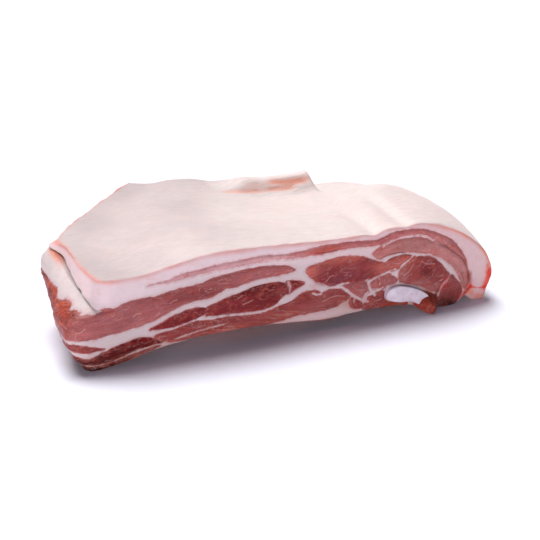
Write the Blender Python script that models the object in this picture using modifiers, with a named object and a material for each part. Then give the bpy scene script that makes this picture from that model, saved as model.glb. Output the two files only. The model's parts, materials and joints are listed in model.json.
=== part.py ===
"""Pork belly slab with its rind on and one rib bone, lying rind up.

The slab is one solid block of rind, fat and meat.  Its far-right end hangs over
and turns down to the table, its left end is cut a little askew, with a slit under
the rind, and a fold of skin lies along the far edge.  The rib runs straight
through from the near cut to the far one, in a channel of its own.

A point of the slab is named by three fractions: u runs along the slab from the
left end to the turned-down right end, v from the near cut to the far one, and
t from the rind down to the underside.
"""
import math

import bmesh
import bpy
import numpy as np

MM = 0.001

# The near cut face, in mm: x along the table, z up, from left to right.
RIND_LINE = [(4, 50.5), (26, 50.6), (48, 54), (70, 56.5), (92, 55.8), (114, 54.8), (136, 53.3), (158, 53.0),
             (180, 54.4), (200, 53.8), (217, 48.5), (232, 39.5), (242.5, 29), (247, 15), (241, 0)]
UNDER_LINE = [(-6, 0), (18, 3), (42, 7.5), (66, 9), (90, 9), (112, 7.5), (132, 6), (151, 6),
              (168, 6.5), (181, 6.2), (190, 4.6), (197, 3.2), (203, 2.2), (208, 1), (213, 0)]

# The rind seen from above at the left end, in mm: x, y from the near corner to the far one.
LEFT_PLAN = [(4, 0), (2.2, 18.5), (2.7, 37), (4.2, 56), (4.8, 74), (20, 95), (39, 116), (58, 136),
             (77, 155)]
LEFT_DEPTH = 155.0
DEPTH_AT = [0, 0.2, 0.4, 0.55, 0.7, 0.8, 0.9, 1]
DEPTH = [155, 149, 138, 128, 122, 120, 116, 110]

# The rind sags towards the far edge, by these many mm along the slab.
SAG_AT = [0, 0.12, 0.25, 0.4, 0.55, 0.65, 0.75, 0.85, 1]
SAG = [0, 3, 9, 13, 13, 13, 9, 2, 0]

# The cut left end below the slit, in mm: z and how far along x the face stands,
# at the near corner, a fifth of the way back and at the far corner.
END_NEAR = [(0, -6), (4, -9), (9, -12), (14, -14), (19, -15), (23, -14), (27, -10), (31, -2), (33.4, 6)]
END_MIDDLE = [(0, 6), (6, -1), (11, -7), (16, -10.5), (22, -12.5), (27, -13), (32, -11), (38, -5), (42, 1)]
END_FAR = [(0, 26), (6, 18), (12, 9), (18, 3), (24, -1.5), (28, -4), (33, -5.6), (38, -5.8), (42, -5),
           (45, -2), (47.2, 2.6)]
END_MIDDLE_V, END_MIDDLE_PLAN = 0.2, 2.3
END_FAR_V, END_FAR_PLAN = 0.48, 4.7
END_BLEND = 7
TURN_BLEND = 1.6

# The slit between the rind's flap and the block under it.
SLIT_V = [0, 0.06, 0.12, 0.22, 0.34, 0.42, 0.5]
SLIT_T = [0.34, 0.29, 0.27, 0.25, 0.205, 0.13, 0.055]
SLIT_ROW = 0.25
SLIT_HALF_GAP = 0.016
SLIT_CUT = 13.0
FLAP_TUCK, FLAP_EAR, EAR_V, EAR_WIDE = 1.0, 6.0, 0.5, 0.045

# Low forms on the rind and at the cut.
SWELL, SWELL_U, SWELL_WIDE = 5.0, 0.76, 0.13
BELLY_OUT = 6.0
FOLD_HEIGHT, FOLD_RISE, FOLD_V, FOLD_WIDE = 9.5, 4.0, 0.93, 0.07
FOLD_LEFT, FOLD_RIGHT = 134.0, 186.5
CREASES = [(167.0, 14.0, 1.8, 4.5, 104), (187.0, 12.0, 1.3, 4.5, 95)]
LOBE_X, LOBE_Z, LOBE_OUT, LOBE_DROP = 201.5, 4.8, 8.0, 2.3
LOBE_WIDE, LOBE_TALL = 7.0, 5.6
NOTCH, NOTCH_T, NOTCH_WIDE = 4.2, 0.44, 0.11
EDGE_ROUND = 1.5
SLAB_LENGTH, SLAB_DEPTH, SLAB_THICKNESS = 240.0, 150.0, 46.0

# The rib bone's section, in mm.
BONE_X, BONE_Z = 188.5, 11.9
BONE_WIDTH, BONE_HEIGHT = 29.0, 10.0
BONE_TILT = -17.0
BONE_NEAR, BONE_FAR = -1.5, 123.8
BONE_FAR_SLANT = -0.14
BONE_FULLNESS = 2.6
BONE_SIDES = 24
CLEARANCE = 0.3

# The origin lies on the table, under the middle of the slab.
MIDDLE_X, MIDDLE_Y = 119.13, 73.41

MEAT_COLOUR = (0.55, 0.20, 0.19)
BONE_COLOUR = (0.82, 0.79, 0.80)


def ease(low, high, x):
    """0 below low, 1 above high, and a smooth step between them."""
    s = np.clip((x - low) / (high - low), 0, 1)
    return s * s * (3 - 2 * s)


def hump(distance, width):
    """1 at no distance, falling off smoothly over about the width."""
    return np.exp(-(distance / width) ** 2)


def along(points, s):
    """The point at fraction s of a smooth curve through the named points."""
    named = np.array(points, float)
    spans = len(named) - 1
    s = np.clip(s, 0, 1) * spans
    i = np.minimum(s.astype(int), spans - 1)
    f = (s - i)[..., None]
    ends = np.vstack([2 * named[0] - named[1], named, 2 * named[-1] - named[-2]])
    a, b, c, d = ends[i], ends[i + 1], ends[i + 2], ends[i + 3]
    return b + 0.5 * f * ((c - a) + f * ((2 * a - 5 * b + 4 * c - d) + f * (3 * b - 3 * c + d - a)))


def end_profile(points, height):
    """Where an end profile stands at a fraction of its own height."""
    named = np.array(points, float)
    return np.interp(height, named[:, 0] / named[-1, 0], named[:, 1])


def slit_depth_fraction(u, v):
    """The fraction t at which the slit's row lies; it straightens out away from the end."""
    at_end = np.interp(v, SLIT_V, SLIT_T)
    return at_end + (SLIT_ROW - at_end) * ease(0, 0.35, u)


def row_to_t(u, v, row):
    """Bend the even rows of the block so that one of them follows the slit."""
    t_slit = slit_depth_fraction(u, v)
    above = row / SLIT_ROW * t_slit
    below = t_slit + (row - SLIT_ROW) / (1 - SLIT_ROW) * (1 - t_slit)
    return np.where(row <= SLIT_ROW, above, below)


def end_shift(v, t):
    """How far the cut left end stands out from a plain sloping end, in mm."""
    t_slit = np.interp(v, SLIT_V, SLIT_T)
    height = np.clip((1 - t) / (1 - t_slit), 0, 1)
    slope = RIND_LINE[0][0] - UNDER_LINE[0][0]
    near = end_profile(END_NEAR, height) - (RIND_LINE[0][0] - slope * t)
    middle = end_profile(END_MIDDLE, height) - (END_MIDDLE_PLAN - slope * t)
    far = end_profile(END_FAR, height) - (END_FAR_PLAN - slope * t)
    to_middle = np.clip(v / END_MIDDLE_V, 0, 1)
    to_far = np.clip((v - END_MIDDLE_V) / (END_FAR_V - END_MIDDLE_V), 0, 1)
    block = near + (middle - near) * to_middle + (far - middle) * to_far
    flap = (FLAP_TUCK * ease(0, 0.25, v) - FLAP_EAR * hump(v - EAR_V, EAR_WIDE)) * np.clip(t / t_slit, 0, 1)
    shift = np.where(t <= t_slit, flap, block)
    oblique = ease(END_FAR_V, 0.7, v)
    return shift * (1 - oblique) + 10 * t * t * oblique


def slab_point(u, v, t):
    """The place, in mm, of a point of the slab."""
    outer = along(RIND_LINE, u)
    inner = along(UNDER_LINE, u)
    plan = along(LEFT_PLAN, v)
    turned = (1 - u) ** TURN_BLEND * (plan[..., 0] - LEFT_PLAN[0][0])
    bow = np.sin(np.pi * np.clip(v, 0, 1) ** 0.8)
    bend = ease(0.55, 0.8, u)

    y = v * np.interp(u, DEPTH_AT, DEPTH) + (plan[..., 1] - v * LEFT_DEPTH) * (1 - u) ** 3
    rind_x = outer[..., 0] + turned + BELLY_OUT * bend * bow
    sag_from = 0.1 + 0.45 * ease(0.5, 0.72, u)
    sag = np.interp(u, SAG_AT, SAG) * ease(sag_from, 1, v)
    rind_z = outer[..., 1] - sag + SWELL * hump(u - SWELL_U, SWELL_WIDE) * bow
    under_x = inner[..., 0] + turned + 0.65 * BELLY_OUT * bend * bow
    under_z = inner[..., 1] * (1 - ease(0.03, 0.25, v) * (1 - 0.6 * ease(0.5, 0.65, u)))

    x = rind_x + (under_x - rind_x) * t + end_shift(v, t) * (1 - u) ** END_BLEND
    z = rind_z + (under_z - rind_z) * t
    return low_forms(u, v, t, x, y, z)


def low_forms(u, v, t, x, y, z):
    """Add the skin fold, the creases, the lobe beside the bone and the notch at the turned end."""
    near_rind = (1 - t) ** 2
    fold = hump(v - FOLD_V, FOLD_WIDE) * ease(FOLD_LEFT - 12, FOLD_LEFT + 12, x)
    fold = fold * (1 - ease(FOLD_RIGHT - 3.5, FOLD_RIGHT + 3.5, x))
    z = z + (FOLD_HEIGHT + FOLD_RISE * (x - 155) / 30) * fold * near_rind
    for crease_x, slant, deep, wide, reach in CREASES:
        middle = crease_x + slant * np.clip(y / 100, 0, 1) ** 1.5
        z = z - deep * hump(x - middle, wide) * (1 - ease(reach - 20, reach, y)) * near_rind
    away = np.hypot((x - LOBE_X) / LOBE_WIDE, (z - LOBE_Z) / LOBE_TALL)
    lobe = (1 - ease(0.3, 1.2, away)) * (1 - ease(0, 0.08, v))
    y = y - LOBE_OUT * lobe
    z = z - LOBE_DROP * lobe * t ** 6
    z = z + NOTCH * hump(t - NOTCH_T, NOTCH_WIDE) * ease(0.93, 1, u)
    return np.stack([x, y, z], axis=-1)


def round_pair(a, b):
    """Round the edge between two faces: a and b are distances from them, in mm."""
    reach = np.maximum(a, b) / EDGE_ROUND
    angle = math.pi / 4 * (1 - reach)
    short = EDGE_ROUND * (1 - np.cos(angle))
    long = EDGE_ROUND * (1 - np.sin(angle))
    inside = (reach < 1) & (np.minimum(a, b) < 1e-6)
    new_a = np.where(inside, np.where(a <= b, short, long), a)
    new_b = np.where(inside, np.where(a <= b, long, short), b)
    return new_a, new_b


def soften_edges(u, v, t):
    """Pull the points by each edge of the block in, so that the edges come out rounded."""
    sizes = (SLAB_LENGTH, SLAB_DEPTH, SLAB_THICKNESS)
    fractions = [u, v, t]
    far_side = [f > 0.5 for f in fractions]
    distance = [np.where(s, 1 - f, f) * size for f, s, size in zip(fractions, far_side, sizes)]
    for i, j in ((1, 2), (0, 2), (0, 1)):
        distance[i], distance[j] = round_pair(distance[i], distance[j])
    return [np.where(s, 1 - d / size, d / size) for d, s, size in zip(distance, far_side, sizes)]


def to_metres(points):
    """Move points from the near cut's own frame to the part's origin, in metres."""
    return (np.asarray(points) - (MIDDLE_X, MIDDLE_Y, 0)) * MM


def new_collection(name):
    collection = bpy.data.collections.new(name)
    bpy.context.scene.collection.children.link(collection)
    return collection


def material(name, colour, roughness):
    made = bpy.data.materials.new(name)
    made.use_nodes = True
    shader = made.node_tree.nodes["Principled BSDF"]
    shader.inputs["Base Color"].default_value = (*colour, 1)
    shader.inputs["Roughness"].default_value = roughness
    shader.inputs["Metallic"].default_value = 0
    return made


def to_object(bm, name, collection, finish=None):
    mesh = bpy.data.meshes.new(name)
    bm.to_mesh(mesh)
    bm.free()
    mesh.shade_smooth()
    mesh.set_sharp_from_angle(angle=math.radians(40))
    if finish:
        mesh.materials.append(finish)
    made = bpy.data.objects.new(name, mesh)
    collection.objects.link(made)
    return made


def cut_into_rows(bm, axis, places):
    """Cut the whole unit block across one axis, once at each place."""
    normal = [float(i == axis) for i in range(3)]
    for place in places:
        at = [place if i == axis else 0 for i in range(3)]
        geometry = bm.verts[:] + bm.edges[:] + bm.faces[:]
        bmesh.ops.bisect_plane(bm, geom=geometry, dist=1e-7, plane_co=at, plane_no=normal)


def rows(size, count, extra=()):
    """Even fractions with one more row inside each end, where the edge's rounding stops."""
    inset = EDGE_ROUND / size
    even = [i / count for i in range(1, count)]
    return sorted(set(even) | {inset, 1 - inset} | set(extra))


def make_slab(collection):
    bm = bmesh.new()
    bmesh.ops.create_cube(bm, size=1)
    bmesh.ops.translate(bm, vec=(0.5, 0.5, 0.5), verts=bm.verts[:])
    lips = (SLIT_ROW - SLIT_HALF_GAP, SLIT_ROW + SLIT_HALF_GAP)
    cut_into_rows(bm, 0, rows(SLAB_LENGTH, 38))
    cut_into_rows(bm, 1, rows(SLAB_DEPTH, 18))
    cut_into_rows(bm, 2, rows(SLAB_THICKNESS, 10, (SLIT_ROW, *lips)))

    block = np.array([v.co for v in bm.verts], float)
    u, v, row = soften_edges(*block.T)
    place = slab_point(u, v, row_to_t(u, v, row))
    in_slit = (block[:, 0] < 1e-6) & (np.abs(block[:, 2] - SLIT_ROW) < 1e-4)
    cut = SLIT_CUT * ease(0.01, 0.05, v) * (1 - ease(0.5, 0.62, v))
    place[:, 0] += np.where(in_slit, cut, 0)
    for vertex, co in zip(bm.verts, to_metres(place)):
        vertex.co = co
    return to_object(bm, "belly", collection, material("belly", MEAT_COLOUR, 0.45))


def make_rod(name, collection, grow, near, far, finish=None):
    """A rib's rod: a cylinder primitive pressed to a flat oval and laid along y."""
    bm = bmesh.new()
    length = far - near
    bmesh.ops.create_cone(bm, cap_ends=True, segments=BONE_SIDES, radius1=1, radius2=1, depth=length)
    tilt = math.radians(BONE_TILT)
    for vertex in bm.verts:
        across, up = vertex.co.x, vertex.co.y
        power = 2 / BONE_FULLNESS
        across = math.copysign(abs(across) ** power, across) * (BONE_WIDTH / 2 + grow)
        up = math.copysign(abs(up) ** power, up) * (BONE_HEIGHT / 2 + grow)
        x = BONE_X + across * math.cos(tilt) - up * math.sin(tilt)
        z = BONE_Z + across * math.sin(tilt) + up * math.cos(tilt)
        y = (near + far) / 2 - vertex.co.z
        slant = BONE_FAR_SLANT * (x - BONE_X) if vertex.co.z < 0 else 0
        vertex.co = to_metres((x, y + slant, z))
    bmesh.ops.recalc_face_normals(bm, faces=bm.faces[:])
    return to_object(bm, name, collection, finish)


def make_bone(collection):
    bone = make_rod("rib_bone", collection, 0, BONE_NEAR, BONE_FAR, material("rib_bone", BONE_COLOUR, 0.4))
    bevel = bone.modifiers.new("worn ends", "BEVEL")
    bevel.width = 1.0 * MM
    bevel.segments = 2
    bevel.limit_method = "ANGLE"
    bevel.angle_limit = math.radians(60)
    return bone


def cut_channel(slab, cutters):
    channel = make_rod("bone_channel", cutters, CLEARANCE, BONE_NEAR - 15, BONE_FAR + 40)
    channel.hide_render = True
    channel.display_type = "WIRE"
    cut = slab.modifiers.new("bone channel", "BOOLEAN")
    cut.operation = "DIFFERENCE"
    cut.object = channel


def main():
    for old in list(bpy.data.objects):
        bpy.data.objects.remove(old)
    pieces = new_collection("pork_belly_slab")
    cutters = new_collection("cutters")
    slab = make_slab(pieces)
    make_bone(pieces)
    cut_channel(slab, cutters)


main()
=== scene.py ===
"""The finished look of a pork belly slab: rind, fat, muscles and one rib bone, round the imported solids.

The slab is one closed mesh.  A point of it is named by three fractions: u runs along the slab from
the left end to the turned-down right end, v from the near cut to the far one, and t from the rind
down to the underside.  The near cut is painted and modelled from outlines of its muscles, drawn in
millimetres on that cut: x along the table and z up.
"""
import json
import math

import bmesh
import bpy
import numpy as np
from bpy.props import FloatProperty, FloatVectorProperty, PointerProperty
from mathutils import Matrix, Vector

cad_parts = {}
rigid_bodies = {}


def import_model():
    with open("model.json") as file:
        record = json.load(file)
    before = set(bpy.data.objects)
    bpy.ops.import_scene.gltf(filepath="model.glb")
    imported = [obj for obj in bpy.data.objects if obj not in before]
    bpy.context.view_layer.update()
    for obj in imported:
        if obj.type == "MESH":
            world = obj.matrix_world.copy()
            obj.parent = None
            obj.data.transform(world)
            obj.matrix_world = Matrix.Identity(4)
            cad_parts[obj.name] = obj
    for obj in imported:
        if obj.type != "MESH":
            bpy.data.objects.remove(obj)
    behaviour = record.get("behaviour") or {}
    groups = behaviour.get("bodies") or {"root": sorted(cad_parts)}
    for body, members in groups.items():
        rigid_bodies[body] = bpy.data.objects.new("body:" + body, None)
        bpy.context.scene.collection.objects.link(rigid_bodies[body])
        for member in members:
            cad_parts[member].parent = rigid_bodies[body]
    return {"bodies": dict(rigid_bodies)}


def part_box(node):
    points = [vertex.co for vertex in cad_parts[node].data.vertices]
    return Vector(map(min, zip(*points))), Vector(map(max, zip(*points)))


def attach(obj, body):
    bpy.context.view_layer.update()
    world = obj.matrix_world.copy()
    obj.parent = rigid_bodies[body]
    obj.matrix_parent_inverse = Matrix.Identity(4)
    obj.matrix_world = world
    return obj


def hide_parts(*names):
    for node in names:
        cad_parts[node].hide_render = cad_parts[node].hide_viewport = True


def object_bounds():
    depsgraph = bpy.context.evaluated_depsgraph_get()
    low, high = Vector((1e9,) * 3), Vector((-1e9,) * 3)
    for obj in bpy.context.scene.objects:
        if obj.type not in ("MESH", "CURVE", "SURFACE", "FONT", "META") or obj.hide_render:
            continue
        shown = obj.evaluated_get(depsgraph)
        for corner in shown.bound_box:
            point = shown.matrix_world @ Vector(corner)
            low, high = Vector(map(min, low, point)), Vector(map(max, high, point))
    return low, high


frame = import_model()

bl_info = {
    "name": "Pork belly slab",
    "version": (1, 0, 0),
    "blender": (4, 5, 0),
    "location": "3D View > Sidebar > Belly slab",
    "description": "Builds a raw pork belly slab with its rind on, its rib bone and a pale stage",
    "category": "Object",
}

CAD_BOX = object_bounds()
BODY = next(iter(frame["bodies"]))
MM = 0.001

# ---------------------------------------------------------------- the slab's form, in mm

# The near cut: x along the table, z up, from left to right.
RIND_LINE = [(4, 50.5), (26, 50.6), (48, 54), (70, 56.5), (92, 55.8), (114, 54.8), (136, 53.3), (158, 53.0),
             (180, 54.4), (200, 53.8), (217, 48.5), (232, 39.5), (242.5, 29), (247, 15), (241, 0)]
UNDER_LINE = [(-6, 0), (18, 3), (42, 7.5), (66, 9), (90, 9), (112, 7.5), (132, 6), (151, 6),
              (168, 6.5), (181, 6.2), (190, 4.6), (197, 3.2), (203, 2.2), (208, 1), (213, 0)]

# The rind seen from above at the left end: x, y from the near corner to the far one.
LEFT_PLAN = [(4, 0), (2.2, 18.5), (2.7, 37), (4.2, 56), (4.8, 74), (20, 95), (39, 116), (58, 136), (77, 155)]
LEFT_DEPTH = 155.0
DEPTH_AT = [0, 0.2, 0.4, 0.55, 0.7, 0.8, 0.9, 1]
DEPTH = [155, 149, 138, 128, 122, 120, 116, 110]

# The rind sags towards the far edge, by these many mm along the slab.
SAG_AT = [0, 0.12, 0.25, 0.4, 0.55, 0.65, 0.75, 0.85, 1]
SAG = [0, 3, 9, 13, 13, 13, 9, 2, 0]

# The cut left end below the slit: z and how far along x the face stands.
END_NEAR = [(0, -6), (4, -9), (9, -12), (14, -14), (19, -15), (23, -14), (27, -10), (31, -2), (33.4, 6)]
END_MIDDLE = [(0, 6), (6, -1), (11, -7), (16, -10.5), (22, -12.5), (27, -13), (32, -11), (38, -5), (42, 1)]
END_FAR = [(0, 26), (6, 18), (12, 9), (18, 3), (24, -1.5), (28, -4), (33, -5.6), (38, -5.8), (42, -5), (45, -2),
           (47.2, 2.6)]
END_MIDDLE_V, END_MIDDLE_PLAN = 0.2, 2.3
END_FAR_V, END_FAR_PLAN = 0.48, 4.7
END_BLEND = 7
TURN_BLEND = 1.6

# The slit between the rind's flap and the block under it.
SLIT_V = [0, 0.06, 0.12, 0.22, 0.34, 0.42, 0.5]
SLIT_T = [0.34, 0.29, 0.27, 0.25, 0.205, 0.13, 0.055]
SLIT_ROW = 0.25
SLIT_HALF_GAP = 0.010
SLIT_CUT = 13.0
FLAP_TUCK, FLAP_EAR, EAR_V, EAR_WIDE = 1.0, 6.0, 0.5, 0.045

# Low forms on the rind and at the cut.
SWELL, SWELL_U, SWELL_WIDE = 5.0, 0.76, 0.13
BELLY_OUT = 6.0
FOLD_HEIGHT, FOLD_RISE, FOLD_V, FOLD_WIDE = 9.5, 4.0, 0.93, 0.07
FOLD_LEFT, FOLD_RIGHT = 134.0, 186.5
CREASES = [(167.0, 14.0, 1.8, 4.5, 104), (187.0, 12.0, 1.3, 4.5, 95)]
LOBE_X, LOBE_Z, LOBE_OUT, LOBE_DROP = 201.5, 4.8, 8.0, 2.3
LOBE_WIDE, LOBE_TALL = 7.0, 5.6
NOTCH, NOTCH_T, NOTCH_WIDE = 4.2, 0.44, 0.11
EDGE_ROUND = 1.2
CORNER_ROUND = 7.0
SLAB_LENGTH, SLAB_DEPTH, SLAB_THICKNESS = 240.0, 150.0, 46.0
GRAIN_LENGTH = 265.0

# How finely each side of the slab is divided, as cells along its two directions.
FINE_U, FINE_V, FINE_T = 392, 104, 108
ONE = 1_000_000
EDGE_STEPS = (0.2, 0.5, 1.0)
SLIT_STEPS = (0.25, 0.6, 1.0)


def ease(low, high, x):
    """A smooth step: 0 up to low and 1 from high on; the other way round if low is the larger."""
    s = np.clip((x - low) / (high - low), 0, 1)
    return s * s * (3 - 2 * s)


def hump(distance, width):
    """1 at no distance, falling off smoothly over about the width."""
    return np.exp(-(distance / width) ** 2)


def curve_step(a, b, c, d, f):
    """The place at fraction f between b and c on a smooth curve through a, b, c and d."""
    return b + 0.5 * f * ((c - a) + f * ((2 * a - 5 * b + 4 * c - d) + f * (3 * b - 3 * c + d - a)))


def along(points, s):
    """The point at fraction s of a smooth curve through the named points."""
    named = np.array(points, float)
    spans = len(named) - 1
    s = np.clip(s, 0, 1) * spans
    i = np.minimum(s.astype(int), spans - 1)
    ends = np.vstack([2 * named[0] - named[1], named, 2 * named[-1] - named[-2]])
    return curve_step(ends[i], ends[i + 1], ends[i + 2], ends[i + 3], (s - i)[..., None])


def end_profile(points, height):
    """Where an end profile stands at a fraction of its own height."""
    named = np.array(points, float)
    return np.interp(height, named[:, 0] / named[-1, 0], named[:, 1])


def slit_depth_fraction(u, v):
    """The fraction t at which the slit's row lies; it straightens out away from the end."""
    at_end = np.interp(v, SLIT_V, SLIT_T)
    return at_end + (SLIT_ROW - at_end) * ease(0, 0.35, u)


def row_to_t(u, v, row):
    """Bend the even rows of the block so that one of them follows the slit."""
    t_slit = slit_depth_fraction(u, v)
    above = row / SLIT_ROW * t_slit
    below = t_slit + (row - SLIT_ROW) / (1 - SLIT_ROW) * (1 - t_slit)
    return np.where(row <= SLIT_ROW, above, below)


def end_shift(v, t):
    """How far the cut left end stands out from a plain sloping end, in mm."""
    t_slit = np.interp(v, SLIT_V, SLIT_T)
    height = np.clip((1 - t) / (1 - t_slit), 0, 1)
    slope = RIND_LINE[0][0] - UNDER_LINE[0][0]
    near = end_profile(END_NEAR, height) - (RIND_LINE[0][0] - slope * t)
    middle = end_profile(END_MIDDLE, height) - (END_MIDDLE_PLAN - slope * t)
    far = end_profile(END_FAR, height) - (END_FAR_PLAN - slope * t)
    to_middle = np.clip(v / END_MIDDLE_V, 0, 1)
    to_far = np.clip((v - END_MIDDLE_V) / (END_FAR_V - END_MIDDLE_V), 0, 1)
    block = near + (middle - near) * to_middle + (far - middle) * to_far
    flap = (FLAP_TUCK * ease(0, 0.25, v) - FLAP_EAR * hump(v - EAR_V, EAR_WIDE)) * np.clip(t / t_slit, 0, 1)
    shift = np.where(t <= t_slit, flap, block)
    oblique = ease(END_FAR_V, 0.7, v)
    return shift * (1 - oblique) + 10 * t * t * oblique


def slab_point(u, v, t):
    """The place, in mm, of a point of the slab."""
    outer = along(RIND_LINE, u)
    inner = along(UNDER_LINE, u)
    plan = along(LEFT_PLAN, v)
    turned = (1 - u) ** TURN_BLEND * (plan[..., 0] - LEFT_PLAN[0][0])
    bow = np.sin(np.pi * np.clip(v, 0, 1) ** 0.8)
    bend = ease(0.55, 0.8, u)

    y = v * np.interp(u, DEPTH_AT, DEPTH) + (plan[..., 1] - v * LEFT_DEPTH) * (1 - u) ** 3
    rind_x = outer[..., 0] + turned + BELLY_OUT * bend * bow
    sag_from = 0.1 + 0.45 * ease(0.5, 0.72, u)
    sag = np.interp(u, SAG_AT, SAG) * ease(sag_from, 1, v)
    rind_z = outer[..., 1] - sag + SWELL * hump(u - SWELL_U, SWELL_WIDE) * bow
    under_x = inner[..., 0] + turned + 0.65 * BELLY_OUT * bend * bow
    under_z = inner[..., 1] * (1 - ease(0.03, 0.25, v) * (1 - 0.6 * ease(0.5, 0.65, u)))

    x = rind_x + (under_x - rind_x) * t + end_shift(v, t) * (1 - u) ** END_BLEND
    z = rind_z + (under_z - rind_z) * t
    return low_forms(u, v, t, x, y, z)


def low_forms(u, v, t, x, y, z):
    """Add the skin fold, the creases, the lobe beside the bone and the notch at the turned end."""
    near_rind = (1 - t) ** 2
    fold = hump(v - FOLD_V, FOLD_WIDE) * ease(FOLD_LEFT - 12, FOLD_LEFT + 12, x)
    fold = fold * (1 - ease(FOLD_RIGHT - 3.5, FOLD_RIGHT + 3.5, x))
    z = z + (FOLD_HEIGHT + FOLD_RISE * (x - 155) / 30) * fold * near_rind
    for crease_x, slant, deep, wide, reach in CREASES:
        middle = crease_x + slant * np.clip(y / 100, 0, 1) ** 1.5
        z = z - deep * hump(x - middle, wide) * (1 - ease(reach - 20, reach, y)) * near_rind
    away = np.hypot((x - LOBE_X) / LOBE_WIDE, (z - LOBE_Z) / LOBE_TALL)
    lobe = (1 - ease(0.3, 1.2, away)) * (1 - ease(0, 0.08, v))
    y = y - LOBE_OUT * lobe
    z = z - LOBE_DROP * lobe * t ** 6
    z = z + NOTCH * hump(t - NOTCH_T, NOTCH_WIDE) * ease(0.93, 1, u)
    return np.stack([x, y, z], axis=-1)


def round_pair(a, b):
    """Round the edge between two faces: a and b are distances from them, in mm."""
    reach = np.maximum(a, b) / EDGE_ROUND
    angle = math.pi / 4 * (1 - reach)
    short = EDGE_ROUND * (1 - np.cos(angle))
    long = EDGE_ROUND * (1 - np.sin(angle))
    inside = (reach < 1) & (np.minimum(a, b) < 1e-6)
    return np.where(inside, np.where(a <= b, short, long), a), np.where(inside, np.where(a <= b, long, short), b)


def soften_edges(u, v, t):
    """Pull the points by each edge of the block in, so that the edges come out rounded."""
    sizes = (SLAB_LENGTH, SLAB_DEPTH, SLAB_THICKNESS)
    fractions = [u, v, t]
    far_side = [f > 0.5 for f in fractions]
    distance = [np.where(s, 1 - f, f) * size for f, s, size in zip(fractions, far_side, sizes)]
    for i, j in ((1, 2), (0, 2)):
        distance[i], distance[j] = round_pair(distance[i], distance[j])
    rounded = round_pair(distance[0], distance[1])
    near_left = ~far_side[0] & ~far_side[1]
    distance[:2] = [np.where(near_left, old, new) for old, new in zip(distance, rounded)]
    return [np.where(s, 1 - d / size, d / size) for d, s, size in zip(distance, far_side, sizes)]


def round_corner(u, v):
    """Round the slab's near left corner as seen from above."""
    a, b = u * SLAB_LENGTH, v * SLAB_DEPTH
    low, high = np.minimum(a, b), np.maximum(a, b)
    angle = math.pi / 4 * (1 - np.clip(high / CORNER_ROUND, 0, 1))
    share = np.clip(1 - low / CORNER_ROUND, 0, 1)
    new_low = low + CORNER_ROUND * (1 - np.cos(angle)) * share
    arc = CORNER_ROUND * (1 - np.sin(angle))
    new_high = np.where(high < CORNER_ROUND, high + (arc - high) * share, high)
    return np.where(a <= b, new_low, new_high) / SLAB_LENGTH, np.where(a <= b, new_high, new_low) / SLAB_DEPTH


def lines(size, count, extra=()):
    """Where a side is divided, in millionths: even cells, finer rows by both ends, and any extra rows."""
    even = {round(ONE * i / count) for i in range(count + 1)}
    inset = {round(ONE * EDGE_ROUND * step / size) for step in EDGE_STEPS}
    widest = max(inset)
    even = {place for place in even if place in (0, ONE) or widest < place < ONE - widest}
    return sorted(even | inset | {ONE - place for place in inset} | {round(ONE * place) for place in extra})


def slab_sides():
    """The six sides of the block: the axis each faces, at which end, and its rows along the other two."""
    slit = [SLIT_ROW + side * SLIT_HALF_GAP * step for step in SLIT_STEPS for side in (-1, 1)] + [SLIT_ROW]
    fine_u = lines(SLAB_LENGTH, FINE_U)
    half_u = lines(SLAB_LENGTH, FINE_U // 2)
    fine_t = lines(SLAB_THICKNESS, FINE_T)
    fine_v = lines(SLAB_DEPTH, FINE_V)
    coarse_v = lines(SLAB_DEPTH, FINE_V // 2)
    half_t = lines(SLAB_THICKNESS, FINE_T // 2)
    slit_t = lines(SLAB_THICKNESS, FINE_T * 2 // 3, slit)
    return {
        (1, 0): {0: fine_u, 2: fine_t},
        (1, 1): {0: half_u, 2: half_t},
        (2, 0): {0: half_u, 1: fine_v},
        (2, 1): {0: lines(SLAB_LENGTH, FINE_U // 4), 1: coarse_v},
        (0, 0): {1: fine_v, 2: slit_t},
        (0, 1): {1: coarse_v, 2: lines(SLAB_THICKNESS, FINE_T // 4)},
    }


def cell_ring(side, sides, a, b, span_a, span_b):
    """The corners of one cell in order, with a finer neighbour's corners where it meets the border."""
    axis, end = side
    ring = []

    def walk(moving, fixed, start, stop, at):
        between = [start]
        if at in (0, ONE):
            low, high = min(start, stop), max(start, stop)
            inner = [p for p in sides[(fixed, int(at == ONE))][moving] if low < p < high]
            between += inner if start < stop else inner[::-1]
        for place in between:
            corner = [0, 0, 0]
            corner[axis] = ONE * end
            corner[moving] = place
            corner[fixed] = at
            ring.append(tuple(corner))

    walk(a, b, span_a[0], span_a[1], span_b[0])
    walk(b, a, span_b[0], span_b[1], span_a[1])
    walk(a, b, span_a[1], span_a[0], span_b[1])
    walk(b, a, span_b[1], span_b[0], span_a[0])
    return ring


def block_mesh():
    """The unit block as keys (u, v, row in millionths), faces, and the side that each face lies on."""
    sides = slab_sides()
    corners, faces, face_sides = {}, [], []
    for side, rows in sides.items():
        a, b = sorted(rows)
        outward = (side[1] == 1) != (side[0] == 1)  # in a space whose third axis, t, points down
        for low_a, high_a in zip(rows[a], rows[a][1:]):
            for low_b, high_b in zip(rows[b], rows[b][1:]):
                ring = cell_ring(side, sides, a, b, (low_a, high_a), (low_b, high_b))
                face = [corners.setdefault(corner, len(corners)) for corner in ring]
                faces.append(face[::-1] if outward else face)
                face_sides.append(side)
    return np.array(list(corners), float) / ONE, faces, face_sides


# ---------------------------------------------------------------- outlines on the near cut, in mm

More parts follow.
